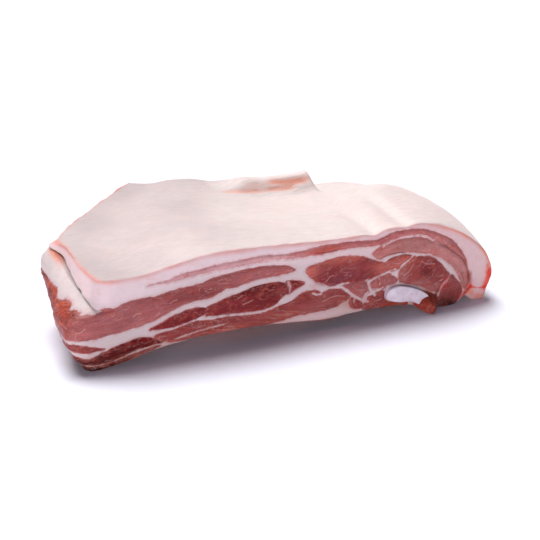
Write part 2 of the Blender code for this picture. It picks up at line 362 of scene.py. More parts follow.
# Each muscle: its colour, the tilt of its fibres in degrees, how far in mm it reaches past its outline,
# and its outline.
MUSCLES = [
    ("mauve", 0, 0.3, [
        (-4, 30.8), (0, 32.6), (4, 34.2), (8, 35), (11, 34), (16, 36), (20, 36.8), (30, 37.3), (33, 36.8),
        (40, 38), (48, 39.2), (55, 39.5), (62, 40.2), (66, 41.6), (75, 42.5), (85, 43.7), (90, 44),
        (98, 43.7), (104, 43), (110, 42), (114, 41), (117, 39), (116, 37.8), (108, 37.2), (100, 37),
        (92, 36.6), (86, 35.6), (80, 34.5), (76, 34.8), (73, 33.8), (69, 32), (65, 31), (60, 30.8),
        (54, 30.4), (48, 29), (42, 26.5), (36, 24.5), (31, 22.8), (26, 22), (20, 21), (14, 20.3), (8, 19.8),
        (2, 19), (-5, 18.8), (-12, 19.3), (-20, 20), (-24, 27), (-12, 30)]),
    ("pale streak", 0, 0.2, [
        (30, 44), (34, 44.6), (41, 44.7), (46, 46.5), (52, 47.5), (60, 48), (68, 49), (80, 49.5), (90, 50),
        (100, 49.8), (108, 48.9), (116, 48.6), (125, 49.4), (132, 49.6), (136, 47.4), (132, 45.6), (125, 45.6),
        (116, 45.6), (108, 46.6), (100, 46.8), (92, 46.9), (84, 46.3), (70, 46), (62, 45.6),
        (55, 45.2), (47, 44.4), (41, 44), (32, 43.8)]),
    ("rose red", 0, 0.3, [
        (128, 49.4), (134, 50), (143, 49.9), (152, 49.8), (161, 48.9), (168, 48.3), (174, 49.8), (178, 51),
        (184, 51.4), (190, 51.2), (196, 50.6), (201, 49.5), (206, 47.5), (210, 45.5), (215, 43), (219, 40.3),
        (222, 37), (225, 33), (227, 30), (229, 26), (228.5, 24.5), (225, 29.2), (220, 33.6), (215, 37.4),
        (210, 41), (205, 44), (201, 46.4), (196, 47.8), (190, 48), (182, 47.5), (176, 47), (171, 45.3),
        (161, 45.7), (152, 46.2), (143, 46), (134, 45.3), (126, 46)]),
    ("rose", 0, 0.3, [
        (166, 40.5), (168, 42.5), (171, 44), (176, 46), (182, 46.4), (188, 47), (194, 47), (200, 45.6),
        (204, 43.8), (207, 42.3), (211, 40), (216, 36), (221, 32), (226.4, 27.5), (229.8, 21.5), (231.2, 17),
        (231.4, 13), (229, 8.5), (226.4, 12.5), (223, 19), (220, 23.5), (216, 27.5), (212, 30.7),
        (208, 32.5), (204, 34.8), (200, 35.4), (194, 36.9), (188, 38), (182, 38.2), (176, 38),
        (171, 36.8), (168, 38)]),
    ("deep red", -14, 0.5, [
        (124, 36), (125, 38.5), (128, 39.5), (133, 40), (138, 41), (144, 41.6), (150, 41.3), (155, 40.5),
        (160, 39.3), (164, 37.5), (168, 35.7), (171, 34.5), (174, 33.5), (176, 31.5), (176.5, 29),
        (175, 27.3), (172, 26.5), (168, 25.6), (163, 25), (153, 25), (150, 26), (144, 26), (141, 25),
        (138, 26), (134, 27.5), (131, 29), (129, 31)]),
    ("mauve", 20, 0.7, [
        (147, 24.3), (151, 24), (156, 25), (162, 25), (163.3, 23), (163.5, 20), (164.5, 18), (163, 17),
        (160, 14.3), (157, 16.2), (153, 19), (150, 21.8)]),
    ("mauve", 50, 1.0, [
        (165, 22), (168, 23.5), (172, 25), (176, 26), (177.5, 25.5), (177, 23), (175, 20), (173, 18.5),
        (170, 19), (167, 19), (165.5, 20.5)]),
    ("red", 10, 1.0, [
        (164, 14), (167, 14.5), (171, 16), (173.5, 15.5), (174, 12), (174, 9), (171, 7.5), (166, 7.2),
        (160, 8.5), (161, 10), (164, 11.5)]),
    ("red", 60, 1.0, [(153, 15), (155, 16), (157, 14), (159, 11), (158, 9), (154, 10), (152, 12)]),
    ("orange lean", -20, 0.5, [
        (175, 34), (178, 35.2), (183, 36), (188, 36), (192, 35), (194, 34), (191, 31.6), (188, 30.4),
        (185, 29.2), (182, 28.5), (179, 28), (177.5, 29), (176.5, 31)]),
    ("red", -35, 0.7, [
        (185, 27.5), (189, 29.5), (193, 31.5), (196, 33.6), (200, 33), (204, 32.2), (207, 30.4), (210, 28.2),
        (212.5, 25.6), (215, 22), (217.4, 19), (214, 16.4), (211.4, 12.5), (210, 9.6), (206, 11.4),
        (202, 13.2), (197, 15.8), (192, 17.8), (187.6, 19.4), (184.4, 21), (184, 25)]),
    ("red", -50, 0.6, [
        (211.5, 7), (212.8, 10), (215.6, 13.4), (217.8, 17), (219.4, 18.6), (222, 15.8), (224.4, 13.2),
        (226.4, 10), (226.6, 7), (225, 4), (222, 0), (216, -2), (209, -2), (208.4, 2), (209.6, 5)]),
    ("nub", -60, 0.8, [(194, 1), (194.6, 6), (197.6, 9.4), (201.4, 11), (205.4, 10.4), (208.4, 9), (209.6, 6),
                       (208.6, 2), (207, -3), (194, -3)]),
    ("mauve", 30, 0.6, [(175.6, 20.6), (176, 24), (179, 24.6), (181.4, 23), (182.4, 20.9), (179.6, 19.9)]),
    ("nub", 10, 0.5, [(170, 8.4), (174, 10.8), (177.5, 8.8), (183, 8), (187.6, 7.4), (190, 5.6), (186, 3),
                      (176, 3), (170, 5)]),
    ("deep red", 8, 0.3, [
        (30.5, 18.3), (34, 20), (38, 21.5), (43, 23.5), (48, 25), (54, 26.3), (59, 26.5), (62, 25.8),
        (63.5, 25), (63, 22.5), (59, 20.8), (54, 19.5), (48, 18.3), (43, 17.6), (38, 17.7), (34, 18)]),
    ("deep red", 6, 0.3, [
        (63.5, 25.5), (66, 26.5), (71, 28), (75, 29), (80, 30), (84, 30.3), (87, 31.3), (92, 32.5),
        (97, 33), (103, 33.2), (108, 32.9), (110, 32), (112, 30), (113, 28), (113.5, 25.5), (111, 25),
        (109, 24), (107, 22), (105, 20.3), (101, 19), (95, 18.6), (88, 18.8), (82, 19.3), (76, 19.7),
        (72, 20), (66, 20.5), (63, 21)]),
    ("deep red", 20, 0.5, [
        (112, 32.5), (117, 32), (120, 31.3), (122.5, 30), (122, 29), (119, 28), (116, 26.8),
        (114.5, 25.8), (113.5, 28), (113, 30)]),
    ("red", 6, 0.3, [
        (33, 14), (38, 15.5), (44, 15.8), (50, 17.2), (56, 18.4), (60, 18.6), (66, 17.6), (72, 18.2),
        (78, 17.8), (84, 17), (90, 16.6), (96, 16.4), (101, 17), (106, 18.3), (111, 19.5), (116, 20.8),
        (118, 22), (121, 24), (125, 24.6), (130, 24.3), (133, 22.5), (134, 21.6), (136, 22.4),
        (139, 23.4), (143, 23.4), (147, 22), (150, 20), (152, 18), (151, 15.6), (147, 14), (143.8, 12.4),
        (137.4, 11.4), (131, 11.2), (125.7, 11.2), (120.3, 11.2), (113, 10.6), (108, 9.8), (100, 9), (90, 8.6),
        (80, 8.4), (66, 8.8), (60, 9), (50, 9),
        (42, 9.4), (36, 12)]),
    ("red", 0, 0.3, [
        (-20, 17.5), (-14, 17), (-9, 16.3), (-3, 14.5), (3, 12.7), (5, 12), (0, 11.7), (-6, 11.4),
        (-12, 12.2), (-20, 12.6)]),
    ("dark red", 0, 0.3, [
        (-18, 9.6), (-12, 9.5), (-9, 8.4), (-5, 7.6), (-1, 8.5), (3, 10), (7, 11), (12, 12.5),
        (18, 13.5), (22, 14.5), (26, 14.8), (30, 14), (33, 12.8), (36, 11), (38, 10), (32, 9.5),
        (25, 8.7), (18, 7), (10, 5), (4, 4.2), (-4, 4), (-10, 4.6), (-18, 4.6)]),
    ("dark red", 0, 0.4, [
        (-18, 3), (-4, 3), (4, 3), (10, 3.9), (18, 5.6), (25, 6.8), (34, 8.6), (36, 8), (28, 6),
        (18, 3.6), (10, 1.4), (2, -0.4), (-4, -1.6), (-18, -2)]),
]

# White tissue between and across the muscles: half its width, and its line.
WHITE_LINES = [
    (0.55, [(172.5, 43.6), (175.6, 45.4), (179.4, 46.3), (185.9, 47.4), (191.5, 47), (196.3, 46.4), (201.1, 45.1),
            (205.9, 42.3)]),
    (0.4, [(-16, 17.2), (-9, 17.2), (2, 15.2), (8, 15)]),
    (0.75, [(163, 25.2), (164.2, 21), (165.2, 18.4), (167, 16), (168, 15)]),
    (0.45, [(165.4, 18.6), (168, 18.5), (171, 18), (173.5, 18.6)]),
    (0.5, [(162, 24.8), (166, 24.6), (170, 26), (174, 26.9), (178, 28.2), (181, 28.6)]),
    (0.4, [(184.5, 29.3), (187, 31), (190, 33), (193, 35.5)]),
    (0.3, [(45, 10.5), (60, 12.8), (75, 14.2)]),
    (0.6, [(131, 28.4), (135, 26.8), (138, 25), (141, 23.9), (146, 25), (151, 25.4)]),
    (0.75, [(141, 24), (146, 23.3), (150, 20.5), (153, 17.8), (157, 15), (160, 13.2), (163.5, 11.7)]),
    (0.5, [(160, 13.2), (161.5, 15.5), (163.6, 17.6)]),
    (0.15, [(208.6, 14.4), (210.6, 15.8), (212.9, 16.9)]),
    (0.4, [(128, 22.8), (131, 21.4), (134, 21.4)]),
    (0.4, [(113.8, 26), (114.2, 29), (112.6, 32.2)]),
    (0.3, [(170, 25.6), (171.4, 23), (171, 20.8)]),
    (0.3, [(155.4, 15.4), (154.4, 12.6), (155.4, 10)]),
    (0.15, [(211.2, 9.6), (212.8, 12.6), (216.4, 16.4), (217.6, 18.6)]),
    (0.35, [(196.6, 15.6), (200.4, 13.4), (204, 11.4), (208.4, 9.4)]),
]

# Fine pale threads inside the muscles.
VEINS = [
    [(21, 27.5), (23, 29.2), (26, 29)],
    [(24, 25), (24.6, 28)],
    [(42, 31.5), (44, 33), (46.5, 33.4)],
    [(-14, 26), (-9, 23.5), (-5, 25.5)],
    [(-10, 23.8), (-10.5, 19.5)],
    [(136, 28.2), (138.4, 31), (141, 31.8)],
    [(85, 24), (88, 24.6), (91, 25.6)],
    [(198, 31), (202, 28.6), (207, 28)],
    [(186.5, 24), (190, 26), (192.6, 29.6)],
    [(178, 33.4), (183, 32), (187.6, 33.6)],
    [(153, 23), (156, 20.4), (160.6, 19.6)],
    [(166, 13.4), (169, 11.6), (172, 12.4)],
    [(134, 17), (142, 19), (148, 18)],
]

# Thin gaps between layers, sunk into the cut and painted dark as shade: depth in mm, half-width, and line.
GAPS = [
    (0.3, 0.3, [(213, 38.6), (217, 35.6), (221, 32.4), (226, 27.8), (228.6, 23.6)]),
    (0.5, 0.3, [(172, 37.4), (176, 38.3), (182, 38.6), (187, 37.8)]),
    (0.4, 0.3, [(176.5, 35.2), (181, 36.4), (187, 36.7), (191, 35.8)]),
    (0.3, 0.35, [(82, 30.4), (87, 31.5), (92, 32.8), (99, 33.4)]),
    (0.4, 0.3, [(129, 46.8), (136, 46.2), (144, 46.2)]),
    (0.3, 0.3, [(225.6, 19.4), (227.4, 15)]),
    (0.5, 0.3, [(203.4, 10.6), (203.8, 8.4), (202.6, 5.6)]),
    (0.5, 0.35, [(209.6, 8.4), (209.8, 4.6), (208.6, 1)]),
    (0.5, 0.5, [(-12, 5.2), (-2, 5.4), (8, 6.4), (18, 8.2), (27, 10)]),
]

# Soft spots of colour on the cut: on lean or fat, x, z, half-length, half-height, colour, strength.
SPOTS = [
    ("lean", 58, 35, 34, 8, "mauve dark", 1.0),
    ("lean", 52, 33, 22, 4, "mauve dark", 0.6),
    ("lean", -8, 27, 8, 6, "orange lean", 0.35),
    ("lean", 131, 47.4, 16, 2.6, "orange lean", 1.0),
    ("lean", 148, 41, 30, 4, "eye light", 0.95),
    ("lean", 127, 36, 8, 7, "eye light", 1.0),
    ("lean", 173, 31, 10, 7, "eye light", 0.95),
    ("lean", 146, 28.5, 18, 6, "eye dark", 0.9),
    ("lean", 152, 34.5, 16, 4, "red", 0.6),
    ("lean", 90, 30, 26, 4, "dark red", 0.9),
    ("lean", 101, 31, 14, 3.4, "dark red", 0.8),
    ("lean", 45, 22, 12, 3, "dark red", 0.25),
    ("lean", 108, 27, 6, 5, "red", 0.7),
    ("lean", 181, 32, 7, 5, "mauve", 0.6),
    ("lean", 186, 24, 5, 8, "rose", 0.7),
    ("lean", 189, 29, 7, 4, "orange lean", 0.5),
    ("lean", 203, 25, 11, 7, "deep red", 0.95),
    ("lean", 203, 22.6, 6, 3.4, "maroon", 0.3),
    ("lean", 214, 43, 15, 6, "rose", 0.8),
    ("lean", 196, 17.4, 10, 2.4, "rose", 0.75),
    ("lean", 206, 13, 6, 3, "rose", 0.6),
    ("lean", 217, -0.5, 12, 8, "maroon", 1.0),
    ("lean", 101, 26, 10, 6, "dark red", 0.5),
    ("lean", 135, 17, 12, 5, "red", 0.8),
    ("lean", 127, 21.5, 7, 2.6, "orange lean", 0.5),
    ("lean", 150, 34.5, 9, 4, "eye dark", 0.6),
    ("lean", 222, 13, 5, 5, "mauve", 0.3),
    ("lean", 221, 30, 8, 5, "rose", 0.6),
    ("lean", 72, 10.5, 20, 3, "orange lean", 0.5),
    ("lean", 112, 12, 18, 3.4, "orange lean", 0.5),
    ("lean", 130, 14, 16, 5, "mauve", 0.5),
    ("lean", 122, 20, 7, 4, "deep red", 0.5),
    ("lean", 18, 9.5, 12, 2.6, "maroon", 0.3),
    ("lean", 0, 2, 22, 6, "maroon", 1.0),
    ("lean", 202, 5.6, 3, 2.6, "orange lean", 0.9),
    ("lean", 205.6, 1, 3.6, 3.4, "maroon", 0.6),
    ("fat", 238.5, 2, 6, 3.6, "tip", 0.95),
    ("fat", 233.4, 5, 3, 2.6, "tip", 0.9),
    ("fat", 246.0, 15, 4.6, 9, "skin orange", 0.8),
    ("fat", 230.6, 8, 5, 6, "skin orange", 0.8),
    ("fat", 230, 3, 4, 4, "fat right", 0.5),
    ("fat", 181, 25.6, 4.4, 4.4, "fat", 0.8),
    ("fat", 176, 42, 12, 4, "pale streak", 0.25),
    ("fat", 150, 43, 30, 2, "cream", 0.2),
    ("fat", 10, 4, 40, 4, "cream", 0.5),
    ("fat", 203, 12, 9, 3, "cream", 0.9),
    ("fat", 150, 13, 7, 6, "cream", 0.9),
    ("fat", 132, 8.6, 34, 4, "membrane", 0.9),
    ("fat", 118, 30, 5, 4, "pale streak", 0.5),
    ("fat", 129, 27, 5, 3, "pale streak", 0.5),
]

# Wet red lines and patches: half-width in mm, colour, strength, and line.
BLOOD_LINES = [
    (0.7, "blood dark", 0.85, [(227.8, 27), (229.4, 23.4), (230.4, 19.4), (231, 17)]),
    (1.7, "blood dark", 1.0, [(230.9, 18), (231.3, 15), (231.7, 12.4), (231.6, 9.6)]),
    (1.5, "blood", 0.8, [(232.2, 10.6), (231, 8), (228.6, 6), (226, 4)]),
    (0.6, "blood dark", 0.8, [(230.6, 8.4), (228.4, 5.8), (226, 3.6), (224.6, 1.6)]),
    (0.4, "blood", 0.85, [(232.4, 9.4), (235, 8.5), (239, 7.6), (242.4, 7.6)]),
    (2.6, "blood", 1.0, [(245.6, 16.5), (245.4, 14), (244.6, 11.2), (243, 7.8)]),
    (1.0, "blood", 0.6, [(243.6, 21), (245, 17)]),
    (1.3, "blood fresh", 1.0, [(215.6, 16.6), (214.8, 14), (213.4, 11.6)]),
    (0.6, "blood dark", 0.8, [(212.4, 10.4), (211.6, 8.6)]),
]

# Where cream streaks run through the lean along the bottom: x, z, half-length, half-height, strength.
STREAK_ZONES = [(74, 11.5, 24, 3.4, 1.0), (30, 8, 28, 4.5, 0.6), (108, 12, 24, 3.5, 0.7), (148, 13.5, 6, 5, 1.0),
                (136, 12, 10, 4, 0.5), (192, 14, 16, 4, 0.5)]

# The bone's cut end on the near cut.
BONE_OUTLINE = [(174.2, 12.4), (174.4, 15), (176, 17.3), (179, 18.7), (183, 19), (189, 17.5), (195.6, 14.6),
                (200.4, 11.6), (202.6, 9), (202.4, 6.4), (200.4, 4.8), (197, 4.5), (194.4, 5.8), (191.6, 7.4),
                (188.5, 8), (184, 8.3), (179.8, 9.3), (176.2, 10.8)]

# The boundary of fat and lean on the cut left end: v and row.
END_FAT_EDGE = [(0, 0.262), (0.02, 0.30), (0.04, 0.335), (0.075, 0.325), (0.108, 0.36), (0.135, 0.335),
                (0.18, 0.34), (0.21, 0.375), (0.255, 0.395), (0.30, 0.355), (0.36, 0.40), (0.5, 0.43),
                (0.6, 0.38), (0.7, 0.42), (0.8, 0.36), (0.9, 0.40), (1, 0.37)]

# Creases between the rolls of the skin fold, sunk and painted with shade: depth and width in mm, how strongly the shade
# is painted, and x, y from above.
ROLL_CREASES = [
    (1.0, 1.5, 1.0, [(155, 123), (162.3, 121.4), (167.5, 119.4), (174.9, 117.2), (180.4, 115.4), (186, 114.8)]),
    (0.9, 1.4, 0.9, [(153, 119.2), (161.1, 117.5), (166.7, 116.1), (170.6, 115.3), (176, 114.7)]),
    (0.6, 1.7, 0.7, [(125, 125), (135.5, 121.9), (141.4, 120), (150.1, 119.2), (157, 117.8)]),
    (0.4, 1.6, 0.3, [(141, 124), (150.5, 122.9), (157, 121.2)]),
]


def shade(red, green, blue):
    """A colour given in everyday 0 to 255 steps, as the even steps of light that shaders use."""
    steps = np.array((red, green, blue)) / 255
    return tuple(np.where(steps <= 0.04045, steps / 12.92, ((steps + 0.055) / 1.055) ** 2.4).tolist())


# ---------------------------------------------------------------- measuring on the cut

def smooth_loop(points, steps=5):
    """A closed smooth curve through the named points."""
    named = np.array(points, float)
    a, b, c, d = (np.roll(named, shift, axis=0)[:, None] for shift in (1, 0, -1, -2))
    f = np.linspace(0, 1, steps, endpoint=False)[None, :, None]
    return curve_step(a, b, c, d, f).reshape(-1, 2)


def smooth_line(points, steps=6):
    """An open smooth curve through the named points."""
    return along(points, np.linspace(0, 1, steps * (len(points) - 1) + 1))


def distance_to(places, chain, closed=False):
    """Distance from each place to a chain of short straight steps."""
    starts = chain if closed else chain[:-1]
    ends = np.roll(chain, -1, axis=0) if closed else chain[1:]
    nearest = np.full(len(places), np.inf)
    for start, end in zip(starts, ends):
        step = end - start
        away = places - start
        f = np.clip(away @ step / max(step @ step, 1e-12), 0, 1)
        nearest = np.minimum(nearest, np.hypot(*(away - f[:, None] * step).T))
    return nearest


def is_inside(places, loop):
    """Whether each place lies inside a closed chain."""
    x, z = places.T
    within = np.zeros(len(places), bool)
    for (x0, z0), (x1, z1) in zip(loop, np.roll(loop, -1, axis=0)):
        if z0 == z1:
            continue
        crosses = (z0 > z) != (z1 > z)
        within ^= crosses & (x < x0 + (z - z0) * (x1 - x0) / (z1 - z0))
    return within


def close_to(places, chain, reach):
    """Which places lie within reach of the box round a chain."""
    return np.all((places > chain.min(axis=0) - reach) & (places < chain.max(axis=0) + reach), axis=1)


def depth_inside(places, loop, reach=3.0):
    """How deep each place lies inside a closed outline; negative outside, down to -reach."""
    depth = np.full(len(places), -reach)
    near = close_to(places, loop, reach)
    some = places[near]
    edge = distance_to(some, loop, closed=True)
    depth[near] = np.where(is_inside(some, loop), edge, -np.minimum(edge, reach))
    return depth


def line_distance(places, points, reach=3.0):
    """Distance from each place to a smooth line, up to reach."""
    distance = np.full(len(places), reach)
    line = smooth_line(points)
    near = close_to(places, line, reach)
    distance[near] = np.minimum(distance_to(places[near], line), reach)
    return distance


def lattice(i, j, k, seed):
    """A repeatable number from -1 to 1 for each lattice point."""
    mixed = (i * 374761393 + j * 668265263 + k * 1274126177 + seed * 144665) & 0xFFFFFFFF
    mixed = ((mixed ^ (mixed >> 13)) * 1103515245 + 12345) & 0xFFFFFFFF
    mixed = ((mixed ^ (mixed >> 16)) * 668265263) & 0xFFFFFFFF
    return ((mixed >> 12) & 0xFFFF) / 32767.5 - 1


def mottle(places, size, seed):
    """Smooth unevenness between about -1 and 1, with features of the given size in mm."""
    scaled = places / size
    corner = np.floor(scaled).astype(np.int64)
    f = scaled - corner
    f = f * f * f * (f * (f * 6 - 15) + 10)
    total = np.zeros(len(places))
    for step in np.ndindex(2, 2, 2):
        weight = np.prod(np.where(np.array(step) == 1, f, 1 - f), axis=1)
        total += weight * lattice(*(corner + step).T, seed)
    return total


def rough_mottle(places, size, seed, layers=3):
    """Unevenness with finer unevenness on it."""
    return sum(mottle(places, size / 2 ** n, seed + n) / 2 ** n for n in range(layers)) / 1.6


# ---------------------------------------------------------------- the slab's surface

class Surface:
    """The slab's points with what is needed to paint and model them."""

    def __init__(self, block, looks, form):
        self.looks, self.form = looks, form
        self.u, self.v, self.row = soften_edges(*block.T)
        self.u, self.v = round_corner(self.u, self.v)
        self.t = row_to_t(self.u, self.v, self.row)
        self.places = slab_point(self.u, self.v, self.t)
        self.on_left = block[:, 0] < 1e-6
        self.on_under = block[:, 2] > 1 - 1e-6
        self.on_rind = block[:, 2] < 1e-6
        self.on_far = block[:, 1] > 1 - 1e-6
        self.open_slit(block)

    def open_slit(self, block):
        """Cut the slit into the left end, as a narrow wedge under the rind's flap, and mark its mouth for painted
        shade.
        """
        from_slit = np.abs(block[:, 2] - SLIT_ROW) / SLIT_HALF_GAP
        long = self.on_left * (1 - ease(0.5, 0.62, self.v))
        self.places[:, 0] += SLIT_CUT * np.clip(1 - from_slit, 0, 1) * long * ease(0.05, 0.14, self.v)
        # Where the slit's mouth is painted dark, as shade.
        self.slit = ease(1.4, 0.5, from_slit) * long * ease(0.01, 0.08, self.v)

    def section(self):
        """Each point's own place on the near cut, with the layers wandering further in."""
        on_cut = slab_point(self.u, np.zeros_like(self.v), self.t)[:, (0, 2)]
        inward = ease(0.03, 0.5, self.v)
        wander_x = 11 * mottle(self.places, 55, 5) + 3 * mottle(self.places, 17, 6)
        wander_z = 2.6 * mottle(self.places, 40, 7) + 0.9 * mottle(self.places, 12, 8)
        return on_cut + np.stack([wander_x, wander_z], axis=1) * inward[:, None]


def blend(colours, other, share):
    """Move colours towards another colour by a share at each point."""
    share = np.clip(share, 0, 1)[:, None]
    return colours * (1 - share) + np.array(other)[:3] * share


def paint_muscles(surface, section):
    """How deep each point is in lean, its lean colour, and the direction of its fibres."""
    count = len(section)
    lean = np.full(count, -3.0)
    colour = np.zeros((count, 3))
    weight = np.full(count, 1e-9)
    tilt = np.zeros(count)
    for name, degrees, spread, outline in MUSCLES:
        depth = depth_inside(section, smooth_loop(outline)) + spread
        share = np.exp(np.clip(depth, -3, 1.5) / 0.35)
        colour += share[:, None] * np.array(surface.looks[name])
        tilt += share * math.radians(degrees)
        weight += share
        lean = np.maximum(lean, depth)
    return lean, colour / weight[:, None], tilt / weight


def paint_white_lines(surface, section, lean):
    """Let the white tissue run across the lean, now wider and now thinner."""
    uneven = 0.35 * rough_mottle(surface.places, 3.5, 22)
    for half_width, line in WHITE_LINES:
        lean = np.minimum(lean, line_distance(section, line) - half_width + uneven)
    return lean


def paint_spots(surface, section, lean_colour, fat_colour):
    """Lay soft spots of colour over the lean and the fat of the near cut."""
    near = 1 - ease(0.1, 0.4, surface.v)
    for where, x, z, half_length, half_height, name, strength in SPOTS:
        away = np.hypot((section[:, 0] - x) / half_length, (section[:, 1] - z) / half_height)
        share = strength * hump(away, 0.75) * near
        if where == "lean":
            lean_colour = blend(lean_colour, surface.looks[name], share)
        else:
            fat_colour = blend(fat_colour, surface.looks[name], share)
    for half_width, name, strength, line in BLOOD_LINES:
        ragged = line_distance(section, line, 6.0) + 0.7 * rough_mottle(surface.places, 2.2, 25)
        share = strength * ease(1.3 * half_width + 0.6, 0.3 * half_width - 0.5, ragged) * near
        fat_colour = blend(fat_colour, surface.looks[name], share)
        lean_colour = blend(lean_colour, surface.looks[name], share)
    return lean_colour, fat_colour


def paint_fat(surface):
    """The fat's colour: paler under the rind, greyer between the muscles, redder by the turned end."""
    looks = surface.looks
    depth = surface.t * SLAB_THICKNESS
    colour = np.tile(np.array(looks["fat"]), (len(depth), 1))
    colour = blend(colour, looks["seam fat"], 0.9 * ease(9, 15, depth))
    colour = blend(colour, looks["cream"], 0.5 * ease(36, 44, depth))
    colour = blend(colour, looks["fat right"], 0.9 * ease(0.45, 0.75, surface.u) * (1 - ease(12, 18, depth)))
    flap = ease(1.0, 0.8, surface.row / SLIT_ROW)
    colour = blend(colour, looks["end fat"], surface.on_left * (1 - flap) * ease(0, 0.06, surface.v))
    colour = blend(colour, looks["flap"], surface.on_left * flap * ease(0.02, 0.1, surface.v))
    return colour


def paint_skin_edge(surface, colour):
    """The cut edge of the rind: a thin pink line that turns orange towards both ends."""
    depth = surface.t * SLAB_THICKNESS + 0.5 * rough_mottle(surface.places, 4, 21)
    uneven = 0.75 + 0.35 * mottle(surface.places, 9, 23)
    warm = np.clip(ease(0.62, 0.78, surface.u) + 0.8 * (1 - ease(0.0, 0.07, surface.u)), 0, 1)
    colour = blend(colour, surface.looks["skin edge"], 0.85 * ease(3.6, 0.8, depth) * uneven * (1 - 0.4 * warm))
    thin = ease(2.1, 0.8, depth) * uneven * warm
    return blend(colour, surface.looks["skin orange"], 0.8 * thin)


def paint_left_end(surface, lean, lean_colour, fat_colour):
    """The rough left end: white fat over torn orange-red lean, then the layers of the near cut."""
    edge_v, edge_row = np.array(END_FAT_EDGE).T
    ragged = 0.018 * rough_mottle(surface.places, 3.5, 31)
    below = (surface.row - np.interp(surface.v, edge_v, edge_row) + ragged) * SLAB_THICKNESS
    upper = 1 - ease(0.52, 0.60, surface.row + 0.02 * mottle(surface.places, 9, 32))
    mixed = np.where(upper > 0.5, np.clip(below, -3, 4), np.minimum(lean, np.clip(below, -3, 4)))
    lean = np.where(surface.on_left, mixed, lean)
    torn = surface.on_left * ease(-0.5, 1.5, below) * ease(0.56, 0.44, surface.row) * ease(0.62, 0.5, surface.v)
    torn = torn * ease(0.025, 0.09, surface.v + 0.02 * mottle(surface.places, 6, 33))
    lean_colour = blend(lean_colour, surface.looks["torn"], 0.9 * torn)
    lean_colour = blend(lean_colour, surface.looks["mauve"], 0.5 * torn * ease(0.36, 0.5, surface.row))
    clumps = rough_mottle(surface.places, 3.4, 34, 2)
    lean_colour = blend(lean_colour, surface.looks["clump"], torn * ease(0.1, 0.5, clumps))
    # The clumps keep their own orange; the maroon between them is painted shade in the gaps.
    lean_colour = blend(lean_colour, surface.looks["maroon"], 0.7 * torn * ease(-0.25, -0.6, clumps))
    plain = surface.on_left * (1 - torn) * ease(0.7, 0.56, surface.row)
    lean_colour = blend(lean_colour, surface.looks["mauve"], 0.6 * plain)
    by_slit = ease(1.9, 0.2, (surface.row - SLIT_ROW) * SLAB_THICKNESS) * (surface.row > SLIT_ROW)
    flush = surface.on_left * by_slit * ease(0.34, 0.44, surface.v) * ease(0.62, 0.5, surface.v)
    fat_colour = blend(fat_colour, surface.looks["skin orange"], flush)
    return lean, lean_colour, fat_colour, torn


def paint_underside(surface, lean, lean_colour, fat_colour):
    """The underside: red lean showing in long patches through a thin pale membrane."""
    stretched = surface.places * (0.35, 1, 1)
    patch = 2.2 * rough_mottle(stretched, 16, 41) + 0.2
    lean = np.where(surface.on_under, patch, lean)
    lean_colour = blend(lean_colour, surface.looks["red"], np.where(surface.on_under, 0.8, 0))
    fat_colour = blend(fat_colour, surface.looks["membrane"], np.where(surface.on_under, 0.9, 0))
    return lean, lean_colour, fat_colour


def paint_skin(surface):
    """The rind's colour, with grey and pink patches, and its creases."""
    looks = surface.looks
    places = surface.places
    colour = np.tile(np.array(looks["rind"]), (len(places), 1))
    grey = ease(0.45, 0.1, surface.u) * (0.8 + 0.35 * mottle(places, 30, 51))
    colour = blend(colour, looks["rind grey"], grey)
    pink = ease(0.6, 0.8, surface.u) * (0.6 + 0.4 * mottle(places, 22, 52))
    colour = blend(colour, looks["rind pink"], 0.8 * pink)
    colour = blend(colour, looks["rind pink"], 0.3 * ease(0.1, 0.8, rough_mottle(places, 18, 53)))
    to_edge = np.minimum(surface.u * GRAIN_LENGTH, surface.v * SLAB_DEPTH)
    rim = ease(2.0, 0.2, to_edge + 0.7 * rough_mottle(places, 4, 54)) * (0.7 + 0.3 * mottle(places, 11, 55))
    warm = np.clip(ease(0.72, 0.84, surface.u) + ease(0.05, 0.0, surface.u), 0, 1)
    colour = blend(colour, looks["skin edge"], 0.5 * rim)
    colour = blend(colour, looks["skin orange"], 0.4 * rim * warm)
    turned = ease(0.93, 1.0, surface.u)
    return blend(colour, looks["skin orange"], 0.35 * turned)


def crease_skin(surface, skin):
    """Sink the creases between the rolls of the fold and paint shade into them."""
    sunk = np.zeros(len(skin))
    for deep, wide, shade_strength, line in ROLL_CREASES:
        left, right = line[0][0], line[-1][0]
        from_middle = np.abs(2 * surface.places[:, 0] - left - right) / (right - left)
        share = hump(line_distance(surface.places[:, :2], line, 9.0), wide) * ease(1.1, 0.45, from_middle)
        sunk = sunk + deep * share * surface.form["fold_depth"]
        # Painted shade in the crease.
        skin = blend(skin, surface.looks["crease"], shade_strength * share)
    return sunk, skin


